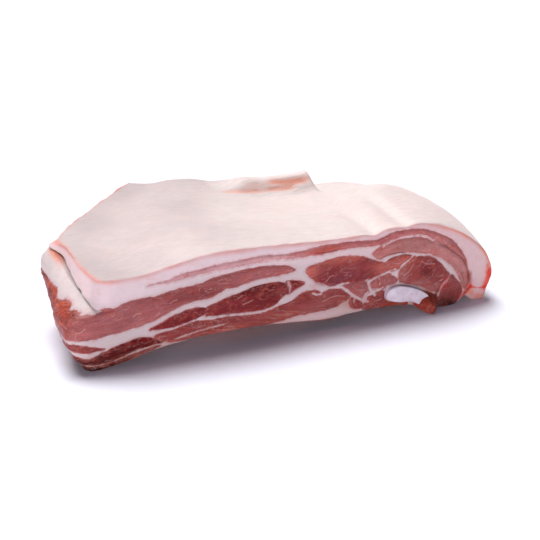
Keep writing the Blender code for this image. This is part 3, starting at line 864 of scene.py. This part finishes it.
def paint(surface):
    """All that is painted on the slab, as named attributes, and the relief in mm."""
    section = surface.section()
    lean, lean_colour, tilt = paint_muscles(surface, section)
    lean = paint_white_lines(surface, section, lean)
    fat_colour = paint_skin_edge(surface, paint_fat(surface))
    lean_colour, fat_colour = paint_spots(surface, section, lean_colour, fat_colour)
    lean, lean_colour, fat_colour, torn = paint_left_end(surface, lean, lean_colour, fat_colour)
    lean, lean_colour, fat_colour = paint_underside(surface, lean, lean_colour, fat_colour)
    sunk, skin = crease_skin(surface, paint_skin(surface))

    near = 1 - ease(0.1, 0.4, surface.v)
    vein = np.full(len(lean), 3.0)
    for line in VEINS:
        vein = np.minimum(vein, line_distance(section, line) + 3 * (1 - near))
    streak = np.zeros(len(lean))
    for x, z, half_length, half_height, strength in STREAK_ZONES:
        away = np.hypot((section[:, 0] - x) / half_length, (section[:, 1] - z) / half_height)
        streak = np.maximum(streak, strength * (1 - ease(0.4, 1.2, away)))
    # Painted shade along the thin gaps between layers and in the slit's mouth.
    gap = np.zeros(len(lean))
    groove = np.zeros(len(lean))
    for deep, half_width, line in GAPS:
        share = hump(line_distance(section, line), half_width) * near
        gap = np.maximum(gap, share)
        groove = np.maximum(groove, deep * share)
    gap = np.maximum(gap, surface.slit)

    bone = depth_inside(section, smooth_loop(BONE_OUTLINE))
    by_bone = hump(np.abs(bone), 0.9) * near

    along_grain = surface.u * GRAIN_LENGTH
    across_grain = surface.t * SLAB_THICKNESS
    grain = np.stack([along_grain * np.cos(tilt) + across_grain * np.sin(tilt),
                      across_grain * np.cos(tilt) - along_grain * np.sin(tilt),
                      surface.places[:, 1]], axis=1)
    relief = model_relief(surface, lean, grain, torn, groove, vein, by_bone, sunk)
    painted = {"lean": lean, "vein": vein, "gap": gap, "torn": torn, "streak": streak,
               "lean_colour": lean_colour, "fat_colour": fat_colour, "skin_colour": skin, "grain": grain}
    return painted, relief


def model_relief(surface, lean, grain, torn, groove, vein, by_bone, sunk):
    """How far each point stands out from the smooth form, in mm."""
    form, places = surface.form, surface.places
    in_lean = ease(0, 2.4, lean)
    fibres = mottle(grain * (0.14, 1, 0.5), 0.9, 61) + 0.6 * mottle(grain * (0.3, 1, 1), 2.6, 62)
    cut = form["bulge"] * in_lean - form["seam"] * hump(lean, 0.5) + form["fibre"] * fibres * in_lean
    cut = cut + 0.22 * rough_mottle(places, 6, 63) + 0.45 * mottle(places, 22, 64)
    cut = cut - groove + 0.1 * hump(vein, 0.5) - 0.5 * by_bone
    lumps = np.abs(rough_mottle(places, 3.0, 65)) - 0.3 + 0.5 * mottle(places, 7, 66)
    cut = cut + form["torn"] * torn * lumps + 0.45 * mottle(places, 6, 67) * surface.on_left * ease(0, 0.08, surface.v)
    rind = form["undulation"] * mottle(places, 34, 68) + 0.18 * mottle(places * (0.5, 1, 1), 9, 69) - sunk
    edge_wave = 0.3 * mottle(places, 5, 70)
    return np.where(surface.on_rind, rind + edge_wave * hump(surface.v * SLAB_DEPTH, 2.5), cut)


def low_corner(places, node):
    """Where the slab's own millimetres start in the frame: its lowest corner meets the solid's."""
    low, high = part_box(node)
    return np.array(low) - places.min(axis=0) * MM


def write_attributes(mesh, painted):
    """Store each painted quantity on the mesh under its name."""
    for name, values in painted.items():
        if values.ndim == 1:
            attribute = mesh.attributes.new(name, "FLOAT", "POINT")
            attribute.data.foreach_set("value", values.astype(np.float32))
        elif name == "grain":
            attribute = mesh.attributes.new(name, "FLOAT_VECTOR", "POINT")
            attribute.data.foreach_set("vector", values.astype(np.float32).ravel())
        else:
            attribute = mesh.attributes.new(name, "FLOAT_COLOR", "POINT")
            filled = np.hstack([values, np.ones((len(values), 1))])
            attribute.data.foreach_set("color", filled.astype(np.float32).ravel())


def link_piece(name, mesh, node):
    """Put a finished mesh into the scene, riding on the body in place of its plain solid."""
    piece = bpy.data.objects.new(name, mesh)
    bpy.context.scene.collection.objects.link(piece)
    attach(piece, BODY)
    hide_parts(node)
    return piece


def build_slab(looks, form):
    """The slab as one closed mesh: rind, three cut faces, the turned end and the underside."""
    block, faces, face_sides = block_mesh()
    surface = Surface(block, looks, form)
    start = low_corner(surface.places, "belly")
    mesh = bpy.data.meshes.new("belly_slab")
    mesh.from_pydata((surface.places * MM + start).tolist(), [], faces)
    normals = np.empty(len(block) * 3, np.float32)
    mesh.vertices.foreach_get("normal", normals)

    painted, relief = paint(surface)
    places = surface.places + normals.reshape(-1, 3) * relief[:, None]
    placed = places * MM + start
    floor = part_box("belly")[0][2]
    placed[:, 2] = np.maximum(placed[:, 2], floor)
    mesh.vertices.foreach_set("co", placed.astype(np.float32).ravel())
    write_attributes(mesh, painted)
    mesh.materials.append(rind_material(looks))
    mesh.materials.append(cut_material(looks))
    mesh.polygons.foreach_set("material_index", [int(side != (2, 0)) for side in face_sides])
    mesh.shade_smooth()
    mesh.update()
    return link_piece("belly_slab", mesh, "belly")


# ---------------------------------------------------------------- the bone

BONE_AROUND = 96
BONE_RINGS = 14
BONE_LENGTH_ROWS = 40
BONE_DOME = 0.9
BONE_FAR_SLANT = -0.14


def build_bone(looks, form):
    """The rib: a rod whose cut ends are slightly domed and pitted, with a waist on its lower side."""
    low, high = (np.array(corner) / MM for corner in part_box("rib_bone"))
    outline = np.array(BONE_OUTLINE)
    loop = smooth_loop(BONE_OUTLINE, 12)
    steps = np.linspace(0, len(loop), BONE_AROUND, endpoint=False).astype(int)
    ring = loop[steps] - (outline.min(axis=0) + outline.max(axis=0)) / 2
    size = ring.max(axis=0) - ring.min(axis=0)
    ring = ring / size * (high - low)[[0, 2]] + (high + low)[[0, 2]] / 2
    middle = ring.mean(axis=0)

    rows = []
    for i in range(1, BONE_RINGS + 1):
        share = math.sin(math.pi / 2 * i / BONE_RINGS)
        rows.append((share, low[1] + BONE_DOME * (1 - math.sqrt(max(0.0, 1 - share ** 4)))))
    for i in range(1, BONE_LENGTH_ROWS):
        rows.append((1.0, low[1] + BONE_DOME + (high[1] - low[1] - 2 * BONE_DOME) * i / BONE_LENGTH_ROWS))
    for i in range(BONE_RINGS, 0, -1):
        share = math.sin(math.pi / 2 * i / BONE_RINGS)
        rows.append((share, high[1] - BONE_DOME * (1 - math.sqrt(max(0.0, 1 - share ** 4)))))
    points = [(middle[0], low[1], middle[1])]
    for share, y in rows:
        for x, z in ring:
            slant = BONE_FAR_SLANT * (x - middle[0]) * ease(low[1] + 60, high[1], y)
            points.append((middle[0] + (x - middle[0]) * share, y + slant, middle[1] + (z - middle[1]) * share))
    points.append((middle[0], high[1], middle[1]))
    points = np.array(points, float)
    points[:, 1] -= max(0.0, points[:, 1].max() - high[1])

    faces = [(0, 1 + (j + 1) % BONE_AROUND, 1 + j) for j in range(BONE_AROUND)]
    for i in range(len(rows) - 1):
        for j in range(BONE_AROUND):
            a, b = 1 + i * BONE_AROUND + j, 1 + i * BONE_AROUND + (j + 1) % BONE_AROUND
            faces.append((a, b, b + BONE_AROUND, a + BONE_AROUND))
    last, first = len(points) - 1, 1 + (len(rows) - 1) * BONE_AROUND
    faces += [(last, first + j, first + (j + 1) % BONE_AROUND) for j in range(BONE_AROUND)]

    away = np.hypot(*((points[:, (0, 2)] - middle) / (size * 0.5)).T)
    marrow = (1 - ease(0.25, 0.7, away)) * (0.6 + 0.4 * mottle(points, 2.0, 81))
    points[:, 1] += 0.18 * rough_mottle(points, 2.2, 82) * (points[:, 1] < low[1] + 3)
    mesh = bpy.data.meshes.new("rib_bone_cut")
    mesh.from_pydata((points * MM).tolist(), [], faces)
    write_attributes(mesh, {"marrow": marrow})
    mesh.materials.append(bone_material(looks))
    mesh.shade_smooth()
    made = bmesh.new()
    made.from_mesh(mesh)
    bmesh.ops.recalc_face_normals(made, faces=made.faces[:])
    made.to_mesh(mesh)
    made.free()
    return link_piece("rib_bone_cut", mesh, "rib_bone")


# ---------------------------------------------------------------- finishes

class Finish:
    """A material's node tree, put together a step at a time."""

    def __init__(self, name):
        self.material = bpy.data.materials.new(name)
        self.material.use_nodes = True
        self.tree = self.material.node_tree
        self.shader = self.tree.nodes["Principled BSDF"]

    def node(self, kind, inputs=None, **settings):
        made = self.tree.nodes.new(kind)
        for key, value in settings.items():
            setattr(made, key, value)
        for key, value in (inputs or {}).items():
            self.feed(made.inputs[key], value)
        return made

    def feed(self, socket, value):
        if isinstance(value, bpy.types.NodeSocket):
            self.tree.links.new(value, socket)
        else:
            socket.default_value = value

    def attribute(self, name, output="Fac"):
        return self.node("ShaderNodeAttribute", attribute_name=name).outputs[output]

    def place(self):
        """The point's place on the object, in millimetres."""
        spot = self.node("ShaderNodeTexCoord").outputs["Object"]
        return self.stretch(spot, (1 / MM, 1 / MM, 1 / MM))

    def stretch(self, vector, scale):
        node = self.node("ShaderNodeVectorMath", {0: vector, 1: scale}, operation="MULTIPLY")
        return node.outputs[0]

    def maths(self, operation, a, b=0.0, c=0.0):
        return self.node("ShaderNodeMath", {0: a, 1: b, 2: c}, operation=operation).outputs[0]

    def noise(self, vector, size, detail=2.0, roughness=0.5, warp=0.0):
        inputs = {"Vector": vector, "Scale": 1 / size, "Detail": detail, "Roughness": roughness, "Distortion": warp}
        return self.node("ShaderNodeTexNoise", inputs).outputs["Fac"]

    def cells(self, vector, size, feature="F1"):
        return self.node("ShaderNodeTexVoronoi", {"Vector": vector, "Scale": 1 / size}, feature=feature).outputs["Distance"]

    def step(self, value, low, high, to_low=0.0, to_high=1.0):
        inputs = {"Value": value, "From Min": low, "From Max": high, "To Min": to_low, "To Max": to_high}
        return self.node("ShaderNodeMapRange", inputs, interpolation_type="SMOOTHSTEP").outputs[0]

    def scale(self, value, low, high):
        """Spread a noise of 0 to 1 evenly over low to high."""
        return self.maths("MULTIPLY_ADD", value, high - low, low)

    def mix(self, share, a, b, how="MIX"):
        node = self.node("ShaderNodeMix", data_type="RGBA", blend_type=how)
        for socket, value in ((node.inputs[0], share), (node.inputs[6], a), (node.inputs[7], b)):
            if isinstance(value, (tuple, list)) and len(value) == 3:
                value = (*value, 1.0)
            self.feed(socket, value)
        return node.outputs[2]

    def brighten(self, colour, factor):
        """Multiply a colour by a grey factor."""
        grey = self.node("ShaderNodeCombineColor", {0: factor, 1: factor, 2: factor}).outputs[0]
        return self.mix(1.0, colour, grey, "MULTIPLY")

    def bump(self, height, distance, normal=None):
        inputs = {"Height": height, "Distance": distance * MM, "Strength": 1.0}
        if normal is not None:
            inputs["Normal"] = normal
        return self.node("ShaderNodeBump", inputs).outputs[0]

    def glow_through(self, weight, radius, scale):
        """Let a little light through the surface, as flesh does."""
        self.shader.inputs["Subsurface Weight"].default_value = weight
        self.shader.inputs["Subsurface Radius"].default_value = radius
        self.shader.inputs["Subsurface Scale"].default_value = scale * MM

    def finish(self, colour, roughness, normal):
        self.feed(self.shader.inputs["Base Color"], colour)
        self.feed(self.shader.inputs["Roughness"], roughness)
        self.feed(self.shader.inputs["Normal"], normal)
        return self.material


def rind_material(looks):
    """Scalded pig skin: pale, finely wrinkled along the slab, with tiny pores."""
    skin = Finish("rind")
    place = skin.place()
    wrinkles = skin.noise(skin.stretch(place, (0.16, 1.0, 0.6)), 1.3, 3.0, 0.6, 0.4)
    fine = skin.noise(skin.stretch(place, (0.5, 1.0, 1.0)), 0.45, 2.0, 0.6)
    patches = skin.noise(place, 14, 3.0, 0.6)
    pores = skin.cells(place, 3.4)
    rare = skin.step(skin.noise(place, 7.0, 1.0), 0.52, 0.6)
    pore = skin.maths("MULTIPLY", skin.step(pores, 0.16, 0.07), rare)

    colour = skin.attribute("skin_colour", "Color")
    colour = skin.brighten(colour, skin.scale(patches, 0.95, 1.05))
    # Painted shade and light: the wrinkle hollows darker and their ridges lighter, following the same noise that raises
    # the bump.
    colour = skin.brighten(colour, skin.scale(wrinkles, 0.80, 1.20))
    colour = skin.mix(skin.step(fine, 0.62, 0.8, 0.0, 0.25), colour, looks["rind pink"])
    colour = skin.mix(skin.maths("MULTIPLY", pore, 0.4), colour, looks["pore"])

    height = skin.maths("MULTIPLY_ADD", fine, 0.25, wrinkles)
    normal = skin.bump(height, 0.28)
    normal = skin.bump(skin.maths("MULTIPLY", pore, -1.0), 0.12, normal)
    skin.glow_through(0.12, (1.0, 0.45, 0.35), 2.5)
    skin.shader.inputs["Specular IOR Level"].default_value = 0.35
    return skin.finish(colour, skin.scale(wrinkles, 0.42, 0.6), normal)


def cut_material(looks):
    """The cut faces: fat and lean parted by the painted depth, with fibres, veins and moisture."""
    cut = Finish("cut_meat")
    place = cut.place()
    grain = cut.attribute("grain", "Vector")
    coarse = cut.noise(place, 3.2, 2.0, 0.6)
    fine = cut.noise(place, 0.5, 2.0, 0.6)

    ragged = cut.maths("ADD", cut.attribute("lean"), cut.scale(coarse, -0.7, 0.7))
    ragged = cut.maths("ADD", ragged, cut.scale(fine, -0.5, 0.5))
    in_lean = cut.step(ragged, -0.5, 0.45)

    fibres = cut.noise(cut.stretch(grain, (0.11, 1.0, 0.5)), 0.8, 3.0, 0.65, 0.3)
    bundles = cut.noise(cut.stretch(grain, (0.25, 1.0, 0.6)), 3.2, 2.0, 0.55, 0.6)
    broad = cut.noise(cut.stretch(grain, (0.4, 1.0, 0.6)), 9.0, 2.0, 0.6)
    unevenness = cut.scale(fibres, 0.60, 1.40)
    for noise, low, high in ((bundles, 0.70, 1.30), (cut.noise(place, 1.1, 2.0, 0.7), 0.80, 1.20), (broad, 0.72, 1.28)):
        unevenness = cut.maths("MULTIPLY", unevenness, cut.scale(noise, low, high))
    lean = cut.attribute("lean_colour", "Color")
    lean = cut.brighten(lean, cut.maths("MAXIMUM", unevenness, 0.62))
    marbling = cut.noise(cut.stretch(grain, (0.35, 1.0, 0.7)), 4.0, 4.0, 0.7, 1.2)
    ridge = cut.step(cut.maths("ABSOLUTE", cut.maths("SUBTRACT", marbling, 0.5)), 0.02, 0.004)
    sparse = cut.step(cut.noise(place, 9.0, 1.0), 0.46, 0.62)
    by_border = cut.step(cut.attribute("lean"), 3.0, 0.6)
    threads = cut.maths("MULTIPLY", ridge, cut.maths("MAXIMUM", sparse, by_border))
    vein = cut.step(cut.maths("ADD", cut.attribute("vein"), cut.scale(fine, -0.4, 0.4)), 0.45, 0.1, 0.0, 0.45)
    pale = cut.maths("MAXIMUM", cut.maths("MULTIPLY", threads, 0.42), vein)
    lean = cut.mix(pale, lean, looks["vein"])
    wet_red = cut.step(cut.noise(place, 5.0, 3.0, 0.7), 0.50, 0.68, 0.0, 0.45)
    lean = cut.mix(wet_red, lean, looks["orange lean"])
    border_red = cut.maths("MULTIPLY", cut.step(ragged, 1.6, 0.2), cut.step(cut.noise(place, 6.0, 2.0), 0.4, 0.62))
    lean = cut.mix(cut.maths("MULTIPLY", border_red, 0.4), lean, looks["orange lean"])
    streaks = cut.noise(cut.stretch(grain, (0.07, 1.0, 0.5)), 1.1, 3.0, 0.7, 0.5)
    cream = cut.maths("MULTIPLY", cut.attribute("streak"), cut.step(streaks, 0.5, 0.66))
    lean = cut.mix(cut.maths("MULTIPLY", cream, 0.6), lean, looks["cream"])
    grains = cut.noise(place, 1.5, 3.0, 0.75, 0.8)
    torn = cut.attribute("torn")
    # Painted highlights on the raised grains of the torn lean and painted shade in the hollows between them; the same
    # grains raise the bump.
    lean = cut.mix(cut.maths("MULTIPLY", torn, cut.step(grains, 0.56, 0.68, 0.0, 0.6)), lean, looks["crumb"])
    lean = cut.mix(cut.maths("MULTIPLY", torn, cut.step(grains, 0.46, 0.36, 0.0, 0.8)), lean, looks["dark red"])

    fat = cut.attribute("fat_colour", "Color")
    layers = cut.noise(cut.stretch(grain, (0.1, 1.0, 0.4)), 1.6, 3.0, 0.6, 0.4)
    fat = cut.brighten(fat, cut.scale(cut.noise(place, 3.5, 4.0, 0.6), 0.93, 1.07))
    fat = cut.brighten(fat, cut.scale(layers, 0.93, 1.07))
    veins = cut.noise(cut.stretch(grain, (0.3, 1.0, 1.0)), 5.0, 3.0, 0.6, 0.8)
    fat = cut.mix(cut.step(veins, 0.56, 0.72, 0.0, 0.25), fat, looks["skin edge"])
    halo = cut.maths("MULTIPLY", cut.step(ragged, -1.8, -0.3), cut.step(coarse, 0.35, 0.65, 0.25, 0.8))
    fat = cut.mix(cut.maths("MULTIPLY", halo, 0.7), fat, looks["pale streak"])

    colour = cut.mix(in_lean, fat, lean)
    # Painted shade: darken the gaps between layers and the slit's mouth.
    colour = cut.mix(cut.maths("MULTIPLY", cut.attribute("gap"), 0.75), colour, looks["gap"])

    lobules = cut.cells(cut.stretch(place, (0.8, 1.0, 1.0)), 1.6)
    height = cut.mix(in_lean, cut.maths("MULTIPLY", lobules, 0.3), cut.maths("MULTIPLY_ADD", fine, 0.5, fibres))
    height = cut.maths("MULTIPLY_ADD", cut.maths("MULTIPLY", torn, grains), 7.0, height)
    normal = cut.bump(height, 0.22)
    lean_gloss = cut.scale(fibres, 0.30, 0.5)
    roughness = cut.maths("MULTIPLY_ADD", cut.maths("SUBTRACT", 1.0, in_lean), 0.1, lean_gloss)
    cut.glow_through(0.1, (1.0, 0.3, 0.2), 2.0)
    cut.shader.inputs["Specular IOR Level"].default_value = 0.16
    return cut.finish(colour, roughness, normal)


def bone_material(looks):
    """The rib's cut end: bluish white with a faint pink, finely pitted middle."""
    bone = Finish("rib_bone_finish")
    place = bone.place()
    pits = bone.cells(place, 1.1)
    cloud = bone.noise(place, 4.5, 1.0, 0.5)
    colour = bone.mix(bone.step(cloud, 0.3, 0.7), looks["bone"], looks["bone light"])
    pink = bone.maths("MULTIPLY", bone.attribute("marrow"), bone.step(bone.noise(place, 2.2, 2.0, 0.6), 0.5, 0.66))
    colour = bone.mix(bone.maths("MULTIPLY", pink, 0.55), colour, looks["bone pink"])
    height = bone.maths("MULTIPLY", pits, bone.attribute("marrow"))
    normal = bone.bump(bone.maths("MULTIPLY_ADD", height, 0.5, cloud), 0.12)
    bone.glow_through(0.08, (1.0, 0.6, 0.5), 1.5)
    return bone.finish(colour, bone.scale(cloud, 0.32, 0.48), normal)


# ---------------------------------------------------------------- the stage

def build_floor(stage):
    """A plain pale floor under the slab."""
    low, high = CAD_BOX
    under = ((low[0] + high[0]) / 2, (low[1] + high[1]) / 2, low[2])
    bpy.ops.mesh.primitive_plane_add(size=stage.floor_size, location=under)
    floor = bpy.context.object
    floor.name = "floor"
    finish = Finish("pale_floor")
    cloud = finish.noise(finish.place(), 400.0, 1.0)
    colour = finish.mix(finish.scale(cloud, 0.0, 0.05), tuple(stage.floor_colour), (0.9, 0.9, 0.9))
    finish.feed(finish.shader.inputs["Base Color"], colour)
    finish.shader.inputs["Roughness"].default_value = 0.9
    finish.shader.inputs["Specular IOR Level"].default_value = 0.1
    floor.data.materials.append(finish.material)
    return floor


def towards(azimuth, elevation):
    """The direction from the slab at these angles in degrees; azimuth 0 is in front and 90 to the right."""
    a, e = math.radians(azimuth), math.radians(elevation)
    return Vector((math.sin(a) * math.cos(e), -math.cos(a) * math.cos(e), math.sin(e)))


def add_lamp(name, kind, energy, colour, aim, direction, distance):
    """A lamp that looks at the slab from a direction."""
    lamp = bpy.data.lights.new(name, kind)
    lamp.energy = energy
    lamp.color = colour
    made = bpy.data.objects.new(name, lamp)
    made.location = aim + direction * distance
    made.visible_camera = False
    made.rotation_euler = direction.to_track_quat("Z", "Y").to_euler()
    bpy.context.scene.collection.objects.link(made)
    return lamp


def build_lamps(stage, aim):
    """A broad even lamp high behind the slab and a low strip in front of it."""
    key = add_lamp("key", "SUN", stage.key_light, (1.0, 0.985, 0.97), aim, towards(180, 63), 1.3)
    key.angle = stage.key_softness
    fill = add_lamp("fill", "AREA", stage.fill_power, (1.0, 0.93, 0.91), aim, towards(-33, 4.5), 1.6)
    fill.shape = "RECTANGLE"
    fill.size, fill.size_y = 1.2, 0.16


def build_world(stage):
    """Even light from all round, with pale walls just above the floor."""
    world = bpy.data.worlds.new("soft_room")
    bpy.context.scene.world = world
    world.use_nodes = True
    nodes, links = world.node_tree.nodes, world.node_tree.links
    sky = nodes["Background"]
    sky.inputs["Color"].default_value = (*stage.room_colour, 1.0)
    sky.inputs["Strength"].default_value = stage.room_light
    wall = nodes.new("ShaderNodeBackground")
    wall.inputs["Color"].default_value = (1.0, 1.0, 1.0, 1.0)
    wall.inputs["Strength"].default_value = stage.wall_light
    direction = nodes.new("ShaderNodeTexCoord")
    height = nodes.new("ShaderNodeSeparateXYZ")
    rise = nodes.new("ShaderNodeMapRange")
    rise.interpolation_type = "SMOOTHSTEP"
    rise.inputs["From Min"].default_value = 0.08
    rise.inputs["From Max"].default_value = 0.22
    both = nodes.new("ShaderNodeMixShader")
    links.new(direction.outputs["Generated"], height.inputs[0])
    links.new(height.outputs["Z"], rise.inputs["Value"])
    links.new(rise.outputs[0], both.inputs[0])
    links.new(wall.outputs[0], both.inputs[1])
    links.new(sky.outputs[0], both.inputs[2])
    links.new(both.outputs[0], nodes["World Output"].inputs["Surface"])


def build_camera(stage):
    """The camera, at its angle round the slab."""
    low, high = (Vector(corner) for corner in CAD_BOX)
    aim = Vector(((low.x + high.x) / 2 + stage.aim_right, (low.y + high.y) / 2 + stage.aim_deep, low.z))
    back = towards(math.degrees(stage.camera_azimuth), math.degrees(stage.camera_elevation))
    lens = bpy.data.cameras.new("camera")
    lens.lens = stage.camera_lens
    camera = bpy.data.objects.new("camera", lens)
    camera.location = aim + back * stage.camera_distance
    camera.rotation_euler = (-back).to_track_quat("-Z", "Y").to_euler()
    bpy.context.scene.collection.objects.link(camera)
    bpy.context.scene.camera = camera
    return camera


# ---------------------------------------------------------------- what a user may change

def colour_property(name, description, default):
    return FloatVectorProperty(name=name, description=description, subtype="COLOR", size=3, min=0.0, max=1.0,
                               default=default)


def length_property(name, description, default):
    return FloatProperty(name=name, description=description, subtype="DISTANCE", unit="LENGTH", min=0.0,
                         default=default)


class BellyColours(bpy.types.PropertyGroup):
    """The colours of the slab and the bone."""
    rind: colour_property("Rind", "Scalded skin on top", shade(226, 211, 207))
    rind_grey: colour_property("Grey rind", "Greyer skin at the left", shade(196, 179, 179))
    rind_pink: colour_property("Pink rind", "Pinker skin at the turned end", shade(230, 204, 202))
    # Painted shade in the creases of the skin fold.
    crease: colour_property("Crease", "Skin in the creases of the fold", shade(236, 150, 124))
    pore: colour_property("Pore", "Tiny marks in the skin", shade(170, 135, 140))
    skin_edge: colour_property("Skin edge", "Cut edge of the rind", shade(206, 150, 148))
    skin_orange: colour_property("Orange skin edge", "Cut edge of the rind at the ends", shade(216, 122, 92))
    fat: colour_property("Fat", "Fat under the rind", shade(209, 189, 194))
    fat_right: colour_property("Right fat", "Fat of the turned end", shade(205, 173, 177))
    seam_fat: colour_property("Seam fat", "White tissue between muscles", shade(192, 176, 180))
    flap: colour_property("Flap", "Fat on the end of the rind's flap", shade(230, 204, 206))
    end_fat: colour_property("End fat", "Fat on the cut left end", shade(204, 190, 190))
    membrane: colour_property("Membrane", "Pale skin of the underside", shade(206, 178, 182))
    cream: colour_property("Cream", "Yellowish tissue along the bottom", shade(178, 138, 126))
    pale_streak: colour_property("Pale streak", "Thin streak in the fat", shade(188, 142, 147))
    mauve: colour_property("Mauve lean", "Upper lean", shade(151, 85, 87))
    mauve_dark: colour_property("Dark mauve lean", "Middle of the upper lean", shade(126, 56, 58))
    clump: colour_property("Clumps", "Wet clumps of torn lean", shade(206, 92, 56))
    rose: colour_property("Rose lean", "Inner layer of the turned end", shade(166, 107, 106))
    rose_red: colour_property("Rose-red lean", "Outer layer of the turned end", shade(162, 91, 92))
    orange_lean: colour_property("Orange lean", "Lean reddened by air", shade(164, 73, 61))
    red: colour_property("Red lean", "Lower lean", shade(134, 56, 56))
    deep_red: colour_property("Deep red lean", "Round muscles", shade(116, 32, 36))
    dark_red: colour_property("Dark red lean", "Dark layers at the bottom", shade(92, 4, 8))
    maroon: colour_property("Maroon lean", "Darkest lean", shade(40, 0, 0))
    blood: colour_property("Blood", "Wet red spots", shade(208, 38, 6))
    nub: colour_property("Nub", "Small lobe beside the bone", shade(140, 50, 38))
    eye_light: colour_property("Light eye", "Paler rim of the round muscle", shade(178, 92, 84))
    eye_dark: colour_property("Dark eye", "Purplish low part of the round muscle", shade(112, 46, 56))
    torn: colour_property("Torn lean", "Torn lean on the left end", shade(170, 62, 42))
    tip: colour_property("Tip", "Pink lumps at the turned tip", shade(206, 132, 122))
    blood_dark: colour_property("Dark blood", "Dark red lines", shade(134, 30, 16))
    blood_fresh: colour_property("Fresh blood", "Bright red spot", shade(176, 20, 24))
    vein: colour_property("Vein", "Pale threads in the lean", shade(206, 160, 156))
    # Painted highlight on the grains of the torn lean.
    crumb: colour_property("Crumb", "Pale grains of torn lean", shade(226, 136, 106))
    # Painted shade for the gaps between layers and the slit.
    gap: colour_property("Gap", "Shadowed gaps between layers", shade(84, 38, 30))
    bone: colour_property("Bone", "Cut end of the rib", shade(200, 184, 200))
    bone_light: colour_property("Light bone", "Brighter parts of the cut end", shade(214, 204, 218))
    bone_pink: colour_property("Bone marrow", "Pink marks in the bone", shade(206, 150, 160))

    def named(self):
        """The colours by name, with spaces."""
        return {key.replace("_", " "): tuple(getattr(self, key)) for key in self.__annotations__}


class BellyRelief(bpy.types.PropertyGroup):
    """How strongly the surface is modelled."""
    bulge: length_property("Muscle bulge", "How far the muscles stand out of the cut", 0.00045)
    seam: length_property("Seam depth", "How deep the seams between fat and lean are", 0.0003)
    fibre: length_property("Fibre height", "Height of the meat's fibres", 0.0001)
    torn: length_property("Torn lean", "Height of the grains on the left end", 0.0018)
    undulation: length_property("Rind undulation", "Slow rise and fall of the rind", 0.0005)
    fold_depth: FloatProperty(name="Fold creases", description="Depth of the creases of the skin fold", default=1.0,
                              min=0.0, max=2.0, subtype="FACTOR")

    def in_mm(self):
        """The relief by name, in mm; the fold creases stay a factor."""
        values = {key: getattr(self, key) / MM for key in self.__annotations__}
        values["fold_depth"] = self.fold_depth
        return values


class BellyStage(bpy.types.PropertyGroup):
    """The floor, the light and the camera."""
    floor_size: length_property("Floor size", "Width of the floor", 12.0)
    floor_colour: colour_property("Floor", "Colour of the floor", (0.90, 0.91, 1.0))
    room_colour: colour_property("Room light", "Colour of the light from all round", (0.50, 0.62, 1.0))
    room_light: FloatProperty(name="Room strength", description="Light from all round", default=0.085, min=0.0)
    wall_light: FloatProperty(name="Wall strength", description="Pale walls all round", default=0.9, min=0.0)
    key_light: FloatProperty(name="Key light", description="Strength of the lamp behind and above the slab",
                             default=4.15, min=0.0)
    key_softness: FloatProperty(name="Key softness", description="How wide the key lamp looks from the slab",
                                default=math.radians(40), subtype="ANGLE", unit="ROTATION")
    fill_power: FloatProperty(name="Fill light", description="Lamp in front of the slab", default=14.3, min=0.0,
                              subtype="POWER", unit="POWER")
    camera_azimuth: FloatProperty(name="Camera azimuth", description="Angle round the slab",
                                  default=math.radians(-25.4), subtype="ANGLE", unit="ROTATION")
    camera_elevation: FloatProperty(name="Camera elevation", description="Angle above the floor",
                                    default=math.radians(21), subtype="ANGLE", unit="ROTATION")
    camera_distance: length_property("Camera distance", "From the camera to where it looks", 0.9374)
    camera_lens: FloatProperty(name="Lens", description="Focal length in millimetres", default=100.0, min=10.0)
    aim_right: length_property("Aim to the right", "Where the camera looks, right of the middle", 0.02867)
    aim_deep: length_property("Aim inward", "Where the camera looks, behind the middle", 0.02369)


# ---------------------------------------------------------------- operators and panel

class BELLY_OT_slab(bpy.types.Operator):
    """Build the slab of rind, fat and lean"""
    bl_idname = "belly.slab"
    bl_label = "Belly slab"

    def execute(self, context):
        scene = context.scene
        build_slab(scene.belly_colours.named(), scene.belly_relief.in_mm())
        return {"FINISHED"}


class BELLY_OT_bone(bpy.types.Operator):
    """Build the rib bone with its cut ends"""
    bl_idname = "belly.bone"
    bl_label = "Rib bone"

    def execute(self, context):
        scene = context.scene
        build_bone(scene.belly_colours.named(), scene.belly_relief.in_mm())
        return {"FINISHED"}


class BELLY_OT_stage(bpy.types.Operator):
    """Set out the floor, the lamps and the camera"""
    bl_idname = "belly.stage"
    bl_label = "Stage"

    def execute(self, context):
        stage = context.scene.belly_stage
        aim = (Vector(CAD_BOX[0]) + Vector(CAD_BOX[1])) / 2
        build_floor(stage)
        build_world(stage)
        build_lamps(stage, aim)
        build_camera(stage)
        context.scene.view_settings.view_transform = "Standard"
        return {"FINISHED"}


class BELLY_PT_panel(bpy.types.Panel):
    """The slab's pieces, colours and stage"""
    bl_idname = "BELLY_PT_panel"
    bl_label = "Belly slab"
    bl_space_type = "VIEW_3D"
    bl_region_type = "UI"
    bl_category = "Belly slab"

    def draw(self, context):
        for operator in (BELLY_OT_slab, BELLY_OT_bone, BELLY_OT_stage):
            self.layout.operator(operator.bl_idname)
        for group in (context.scene.belly_relief, context.scene.belly_colours, context.scene.belly_stage):
            box = self.layout.box()
            for key in group.__annotations__:
                box.prop(group, key)


CLASSES = (BellyColours, BellyRelief, BellyStage, BELLY_OT_slab, BELLY_OT_bone, BELLY_OT_stage, BELLY_PT_panel)


def register():
    for cls in CLASSES:
        bpy.utils.register_class(cls)
    bpy.types.Scene.belly_colours = PointerProperty(type=BellyColours)
    bpy.types.Scene.belly_relief = PointerProperty(type=BellyRelief)
    bpy.types.Scene.belly_stage = PointerProperty(type=BellyStage)


def unregister():
    del bpy.types.Scene.belly_colours
    del bpy.types.Scene.belly_relief
    del bpy.types.Scene.belly_stage
    for cls in reversed(CLASSES):
        bpy.utils.unregister_class(cls)


def main():
    register()
    bpy.ops.belly.slab()
    bpy.ops.belly.bone()
    bpy.ops.belly.stage()


if __name__ == "__main__":
    main()
